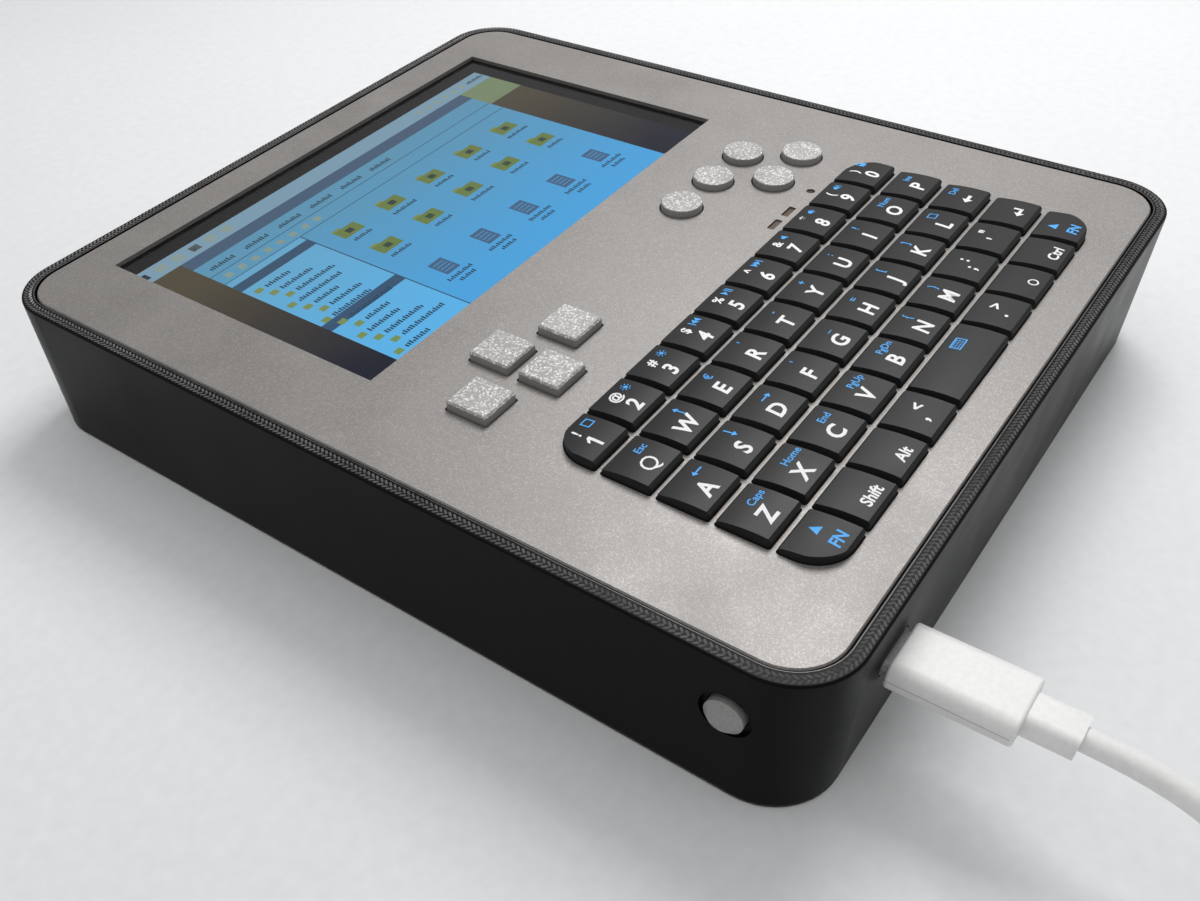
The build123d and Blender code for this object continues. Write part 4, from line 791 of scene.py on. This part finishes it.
def ring_icon():
    """A plain ring of short pieces."""
    turn = np.linspace(0, 2 * math.pi, RING_PIECES + 1)
    rim = np.stack([np.cos(turn), np.sin(turn)], 1) / 2
    hole = RING_HOLE * rim
    return [np.array([rim[k], rim[k + 1], hole[k + 1], hole[k]]) for k in range(RING_PIECES)]


def enter_icon():
    """An arrow to the left with a short upright at its end."""
    return arrow_icon(180, tail=0.5, thick=0.22) + [bar_shape(0.4, -0.11, 0.6, 0.55)]


def long_arrow(angle):
    """The arrow of the four arrow signs."""
    return arrow_icon(angle, tail=0.9, thick=0.15)


ICONS = {
    "left arrow": long_arrow(180), "right arrow": long_arrow(0),
    "up arrow": long_arrow(90), "down arrow": long_arrow(-90),
    "rub out": arrow_icon(180, tail=0.5, thick=0.24), "frame": frame_icon(1.0), "sun": sun_icon(),
    "skip back": skip_icon(-1), "skip on": skip_icon(1), "play": play_icon(), "lock": lock_icon(),
    "quiet": speaker_icon(0), "low sound": speaker_icon(1), "high sound": speaker_icon(2),
    "1": figure_one(), "keyboard": keyboard_icon(), "ring": ring_icon(), "enter": enter_icon(),
    "triangle": [np.array([(-0.5, -0.4), (0.5, -0.4), (0.0, 0.5)])],
}


# Key letters
LETTER_LEAN = 0.12
LETTER_SMOOTHNESS = 3
CAPITAL_HEIGHT = 0.73
BOLD_WIDENING = 0.028
PLAIN_WIDENING = 0.012
LESS_WIDENING = 0.014


def letter_mesh(text, widening):
    """Points and faces of flat letters in Blender's own font, leaning a little."""
    curve = bpy.data.curves.new("letters", "FONT")
    curve.body = text
    curve.align_x = "CENTER"
    curve.shear = LETTER_LEAN
    curve.offset = widening
    curve.resolution_u = LETTER_SMOOTHNESS
    holder = bpy.data.objects.new("letters", curve)
    mesh = bpy.data.meshes.new_from_object(holder)
    points, faces = mesh_points(mesh)[:, :2], mesh_faces(mesh)
    bpy.data.meshes.remove(mesh)
    bpy.data.objects.remove(holder)
    bpy.data.curves.remove(curve)
    return points, faces


def written(text, bold):
    """Flat letters with the middle at the origin and capitals one unit high. A letter that
    comes out with spikes when it is widened is made again with less of it, or with none."""
    for widening in (BOLD_WIDENING if bold else PLAIN_WIDENING, LESS_WIDENING, 0.0):
        points, faces = letter_mesh(text, widening)
        if np.abs(points).max() <= len(text) + 1:
            break
    return points / CAPITAL_HEIGHT - np.array([0, 0.5]), faces


def drawing(what, bold):
    """The points and faces of an icon or of written text, one unit high."""
    if what not in ICONS:
        return written(what, bold)
    points, faces = [], []
    for shape in ICONS[what]:
        faces.append(list(range(len(points), len(points) + len(shape))))
        points += shape.tolist()
    return np.array(points), faces


# Key legends. A mark is (row, column, colour, what it shows, spot), where the spot is the
# place from the key's middle and the height, all in millimetres.
WHITE, BLUE = "white", "blue"
NUMBER_ROW, UPPER_ROW, MIDDLE_ROW, LOWER_ROW, NEAR_ROW = range(5)
SPACE_COLUMN = 4.5
LETTER = (-0.4, -1.2, 3.0)
BLUE_SIGN = (1.2, 2.2, 1.6)
BLUE_ICON = (1.9, 1.75, 1.7)
BLUE_WORD = (1.9, 1.75, 1.35)
DIGIT = (-0.5, -1.55, 2.9)
OVER_DIGIT = (-0.6, 1.95, 1.9)
DIGIT_ICON = (2.6, 2.0, 1.8)
SIGN_PAIR = [(-0.8, -0.9, 2.4), (1.2, 1.2, 2.4)]
STOP_PAIR = [(-0.9, -0.6, 2.6), (1.1, 0.9, 2.2)]
RUB_OUT = (0, -1.4, 2.8)
DELETE = (1.9, 2.1, 1.35)
ENTER = (0, -1.5, 2.6)
NEAR_WORD = (0.4, -1.9, 1.9)
SPACE_ICON = (4.0, 1.9, 1.9)
FN_TRIANGLE = (0.9, 1.6, 1.9)
FN_LETTERS = (0.7, -1.9, 1.9)
NUMBER_ICONS = ["frame", "sun", "sun", "skip back", "play", "skip on", "quiet", "low sound", "high sound",
                "lock"]
EURO_SIGN = chr(0x20AC)
UPPER_BLUES = ["Esc", "up arrow", EURO_SIGN, "'", "-", "+", ":", "?", "Num", "Ins"]
MIDDLE_BLUES = ["left arrow", "down arrow", "right arrow", "'", "_", "=", "[", "]", "frame"]
LOWER_BLUES = ["Caps", "Home", "End", "PgUp", "PgDn", "{", "}"]


def letter_row(row, letters, blues):
    """Marks of a row of letter keys: a white letter and a blue sign, icon or word on each."""
    marks = []
    for column, (letter, small) in enumerate(zip(letters, blues)):
        marks.append((row, column, WHITE, letter, LETTER))
        if len(small) == 1:
            spot = BLUE_SIGN
        else:
            spot = BLUE_ICON if small in ICONS else BLUE_WORD
        marks.append((row, column, BLUE, small, spot))
    return marks


def number_row():
    """Marks of the number keys: a digit, the sign above it and a blue icon."""
    marks = []
    for column, (digit, sign, icon) in enumerate(zip("1234567890", "!@#$%^&*()", NUMBER_ICONS)):
        marks.append((NUMBER_ROW, column, WHITE, digit, DIGIT))
        marks.append((NUMBER_ROW, column, WHITE, sign, OVER_DIGIT))
        marks.append((NUMBER_ROW, column, BLUE, icon, DIGIT_ICON))
    return marks


def two_signs(row, column, signs, spots):
    """Marks of a key with two white signs, the first near on the left, the other far on the right."""
    return [(row, column, WHITE, sign, spot) for sign, spot in zip(signs, spots)]


def near_word(column, word):
    """The mark of a key with a word or a ring on it, in the row nearest the user."""
    return [(NEAR_ROW, column, WHITE, word, NEAR_WORD)]


def fn_marks(column, way):
    """A blue triangle and two letters, to the right of the key's middle or, with way -1, to
    its left."""
    marks = [("triangle", FN_TRIANGLE), ("FN", FN_LETTERS)]
    return [(NEAR_ROW, column, BLUE, what, (way * x, y, height)) for what, (x, y, height) in marks]


LEGENDS = {
    "number_keys": number_row(),
    "upper_letter_keys": letter_row(UPPER_ROW, "QWERTYUIOP", UPPER_BLUES),
    "middle_letter_keys": letter_row(MIDDLE_ROW, "ASDFGHJKL", MIDDLE_BLUES),
    "lower_letter_keys": letter_row(LOWER_ROW, "ZXCVBNM", LOWER_BLUES)
    + two_signs(LOWER_ROW, 7, ";:", SIGN_PAIR) + two_signs(LOWER_ROW, 8, "'\"", SIGN_PAIR),
    "backspace_key": [(MIDDLE_ROW, 9, WHITE, "rub out", RUB_OUT), (MIDDLE_ROW, 9, BLUE, "Del", DELETE)],
    "enter_key": [(LOWER_ROW, 9, WHITE, "enter", ENTER)],
    "left_fn_key": fn_marks(0, 1),
    "right_fn_key": fn_marks(9, -1),
    "shift_key": near_word(1, "Shift"),
    "alt_key": near_word(2, "Alt"),
    "control_key": near_word(8, "Ctrl"),
    "comma_key": two_signs(NEAR_ROW, 3, ",<", STOP_PAIR),
    "stop_key": two_signs(NEAR_ROW, 6, ".>", STOP_PAIR),
    "space_key": [(NEAR_ROW, SPACE_COLUMN, BLUE, "keyboard", SPACE_ICON)],
    "system_key": near_word(7, "ring"),
}

KEY_PITCH = np.array([10.6, 9.63]) * MM
KEYBOARD_MIDDLE_COLUMN = 4.5
KEYBOARD_MIDDLE_Y = (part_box("left_fn_key")[0][1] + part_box("number_keys")[1][1]) / 2
PROFILE_REACH = 0.42 * KEY_PITCH[1]
PROFILE_POINTS = 60
LEGEND_LIFT = 0.025 * MM
LEGEND_STEP = 0.35 * MM
BOLD_FROM = 1.85


def key_middle(row, column):
    """The middle of a key, at x and y."""
    x = (column - KEYBOARD_MIDDLE_COLUMN) * KEY_PITCH[0]
    return np.array([x, KEYBOARD_MIDDLE_Y + (MIDDLE_ROW - row) * KEY_PITCH[1]])


def key_profile(node, middle):
    """The key top's heights along Y through its middle, found by looking straight down."""
    mesh = frame["nodes"][node].data
    tree = BVHTree.FromPolygons(mesh_points(mesh).tolist(), mesh_faces(mesh))
    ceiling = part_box(node)[1][2] + MM
    along = middle[1] + np.linspace(-PROFILE_REACH, PROFILE_REACH, PROFILE_POINTS)
    hits = [tree.ray_cast(Vector((middle[0], y, ceiling)), Vector((0, 0, -1)))[0] for y in along]
    return along, np.array([hit.z for hit in hits])


def lay_on_key(mesh, along, heights):
    """Cut the flat drawing across every small step of Y, so that its long strokes can bend,
    then lift each point to the key's top at its own Y."""
    cut = bmesh.new()
    cut.from_mesh(mesh)
    for y in np.arange(along[0], along[-1], LEGEND_STEP):
        everything = cut.verts[:] + cut.edges[:] + cut.faces[:]
        bmesh.ops.bisect_plane(cut, geom=everything, plane_co=(0, y, 0), plane_no=(0, 1, 0))
    cut.to_mesh(mesh)
    cut.free()
    points = mesh_points(mesh)
    points[:, 2] = np.interp(points[:, 1], along, heights) + LEGEND_LIFT
    mesh.vertices.foreach_set("co", points.ravel())
    mesh.update()


def key_legends():
    """Each key's marks, laid on its top: one piece for each body and colour."""
    for node, marks in LEGENDS.items():
        along, heights = key_profile(node, key_middle(*marks[0][:2]))
        for colour, finish in [(WHITE, LEGEND_WHITE), (BLUE, LEGEND_BLUE)]:
            points, faces = np.zeros((0, 2)), []
            for row, column, own, what, (x, y, height) in marks:
                if own != colour:
                    continue
                flat, shapes = drawing(what, height >= BOLD_FROM)
                flat = flat * height * MM + key_middle(row, column) + np.array([x, y]) * MM
                faces += [[corner + len(points) for corner in shape] for shape in shapes]
                points = np.vstack([points, flat])
            if not faces:
                continue
            flat_points = np.column_stack([points, np.zeros(len(points))])
            name = f"{node}_{colour}_legends"
            piece = put(name, flat_points, faces, finish, node + "_body")
            lay_on_key(piece.data, along, heights)


# Charging lead. Its route and radius are in millimetres, and its length is in metres. Each
# turn of the coil is (radius, height).
CABLE_RADIUS = 1.75
LEAD_START = (-50.6, -109.2, 17.5)
LEAD_POINTS = [
    (-50.6, -119.5, 17.5),
    (-51.1, -131.5, 12.6),
    (-52.3, -143.5, 4.4),
    (-53.0, -155.0, 1.9),
    (-53.0, -166.0, 1.75),
]
COIL_MIDDLE = (-29.5, -166.0)
COIL_TURNS = [(23.5, 1.75), (20.0, 1.75), (16.5, 1.75), (16.5, 5.25), (20.0, 5.25), (23.5, 5.25),
              (23.5, 8.75), (23.5, 8.75)]
WOUND_TURNS = 7.25
TURN_POINTS = 24
CROSSING = 1 / 6
TAIL_POINTS = [(-29.5, -189.5, 8.75), (-20.5, -189.5, 8.75), (-6.0, -190.5, 2.6), (6.0, -190.5, 2.6)]
CABLE_SMOOTHNESS = 5
ROUTE_SMOOTHNESS = 6
MOULD_EDGE = 0.5 * MM
PARTING_STEPS = 120
PARTING_LIP = [(-0.1, -0.08), (0.03, -0.05), (0.03, 0.05), (-0.1, 0.08)]


def coil_points():
    """The coil's turns, anticlockwise from the left to a quarter turn past the seventh. Each
    turn has its own radius and height, and moves over to the next one's in its last sixth."""
    step = np.arange(1, int(WOUND_TURNS * TURN_POINTS))
    last = len(COIL_TURNS) - 1
    turn = np.minimum(step // TURN_POINTS, last)
    share = np.clip((step / TURN_POINTS - turn - 1 + CROSSING) / CROSSING, 0, 1)[:, None]
    sizes = np.array(COIL_TURNS)
    radius, height = (sizes[turn] * (1 - share) + sizes[np.minimum(turn + 1, last)] * share).T
    angle = math.pi + step * 2 * math.pi / TURN_POINTS
    x = COIL_MIDDLE[0] + radius * np.cos(angle)
    y = COIL_MIDDLE[1] + radius * np.sin(angle)
    return np.stack([x, y, height], 1).tolist()


def charging_lead():
    """The whole cable as one smooth line, from the near plug's sleeve to the far one's."""
    route = [LEAD_START] + LEAD_POINTS + coil_points() + TAIL_POINTS
    curve = bpy.data.curves.new("charging_lead", "CURVE")
    curve.dimensions = "3D"
    curve.bevel_depth = CABLE_RADIUS * MM
    curve.bevel_resolution = CABLE_SMOOTHNESS
    curve.resolution_u = ROUTE_SMOOTHNESS
    curve.use_fill_caps = True
    spline = curve.splines.new("NURBS")
    spline.points.add(len(route) - 1)
    spline.points.foreach_set("co", np.array([(x * MM, y * MM, z * MM, 1) for x, y, z in route]).ravel())
    spline.order_u = 3
    spline.use_endpoint_u = True
    curve.materials.append(FINISHES["lead_white"])
    lead = bpy.data.objects.new("charging_lead", curve)
    bpy.context.collection.objects.link(lead)
    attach(lead, "charge_lead")
    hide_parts("cable", "cable_coil", "cable_tail")


def plug_parting_line():
    """The fine line round the plug's grip, where its two halves meet, in a darker grey than the white plug:
    painted shade along the seam.
    """
    middle_z = (MOULD_LOW[2] + MOULD_HIGH[2]) / 2
    line = around(MOULD_LOW, MOULD_HIGH, MOULD_EDGE, 0.0, PARTING_STEPS)
    thin_ring("plug_parting_line", line, middle_z, PARTING_LIP, SEAM_SHADE_FINISH, "charge_lead")


make_camera()
charging_lead()
make_sky()
make_floor()
soft_lamp("key_lamp", place=(0.26, 0.05, 0.42), target=(-0.02, -0.03, 0.02), size=0.24, power=1.5)
soft_lamp("top_lamp", place=(-0.10, 0.05, 0.75), target=(0.0, 0.0, 0.0), size=0.9, power=1.7)
dress_nodes()
rim_braid_painted_glints()
cover_seam()
picture_windows()
picture_marks()
key_legends()
plug_parting_line()
bpy.context.scene.view_settings.view_transform = "Standard"
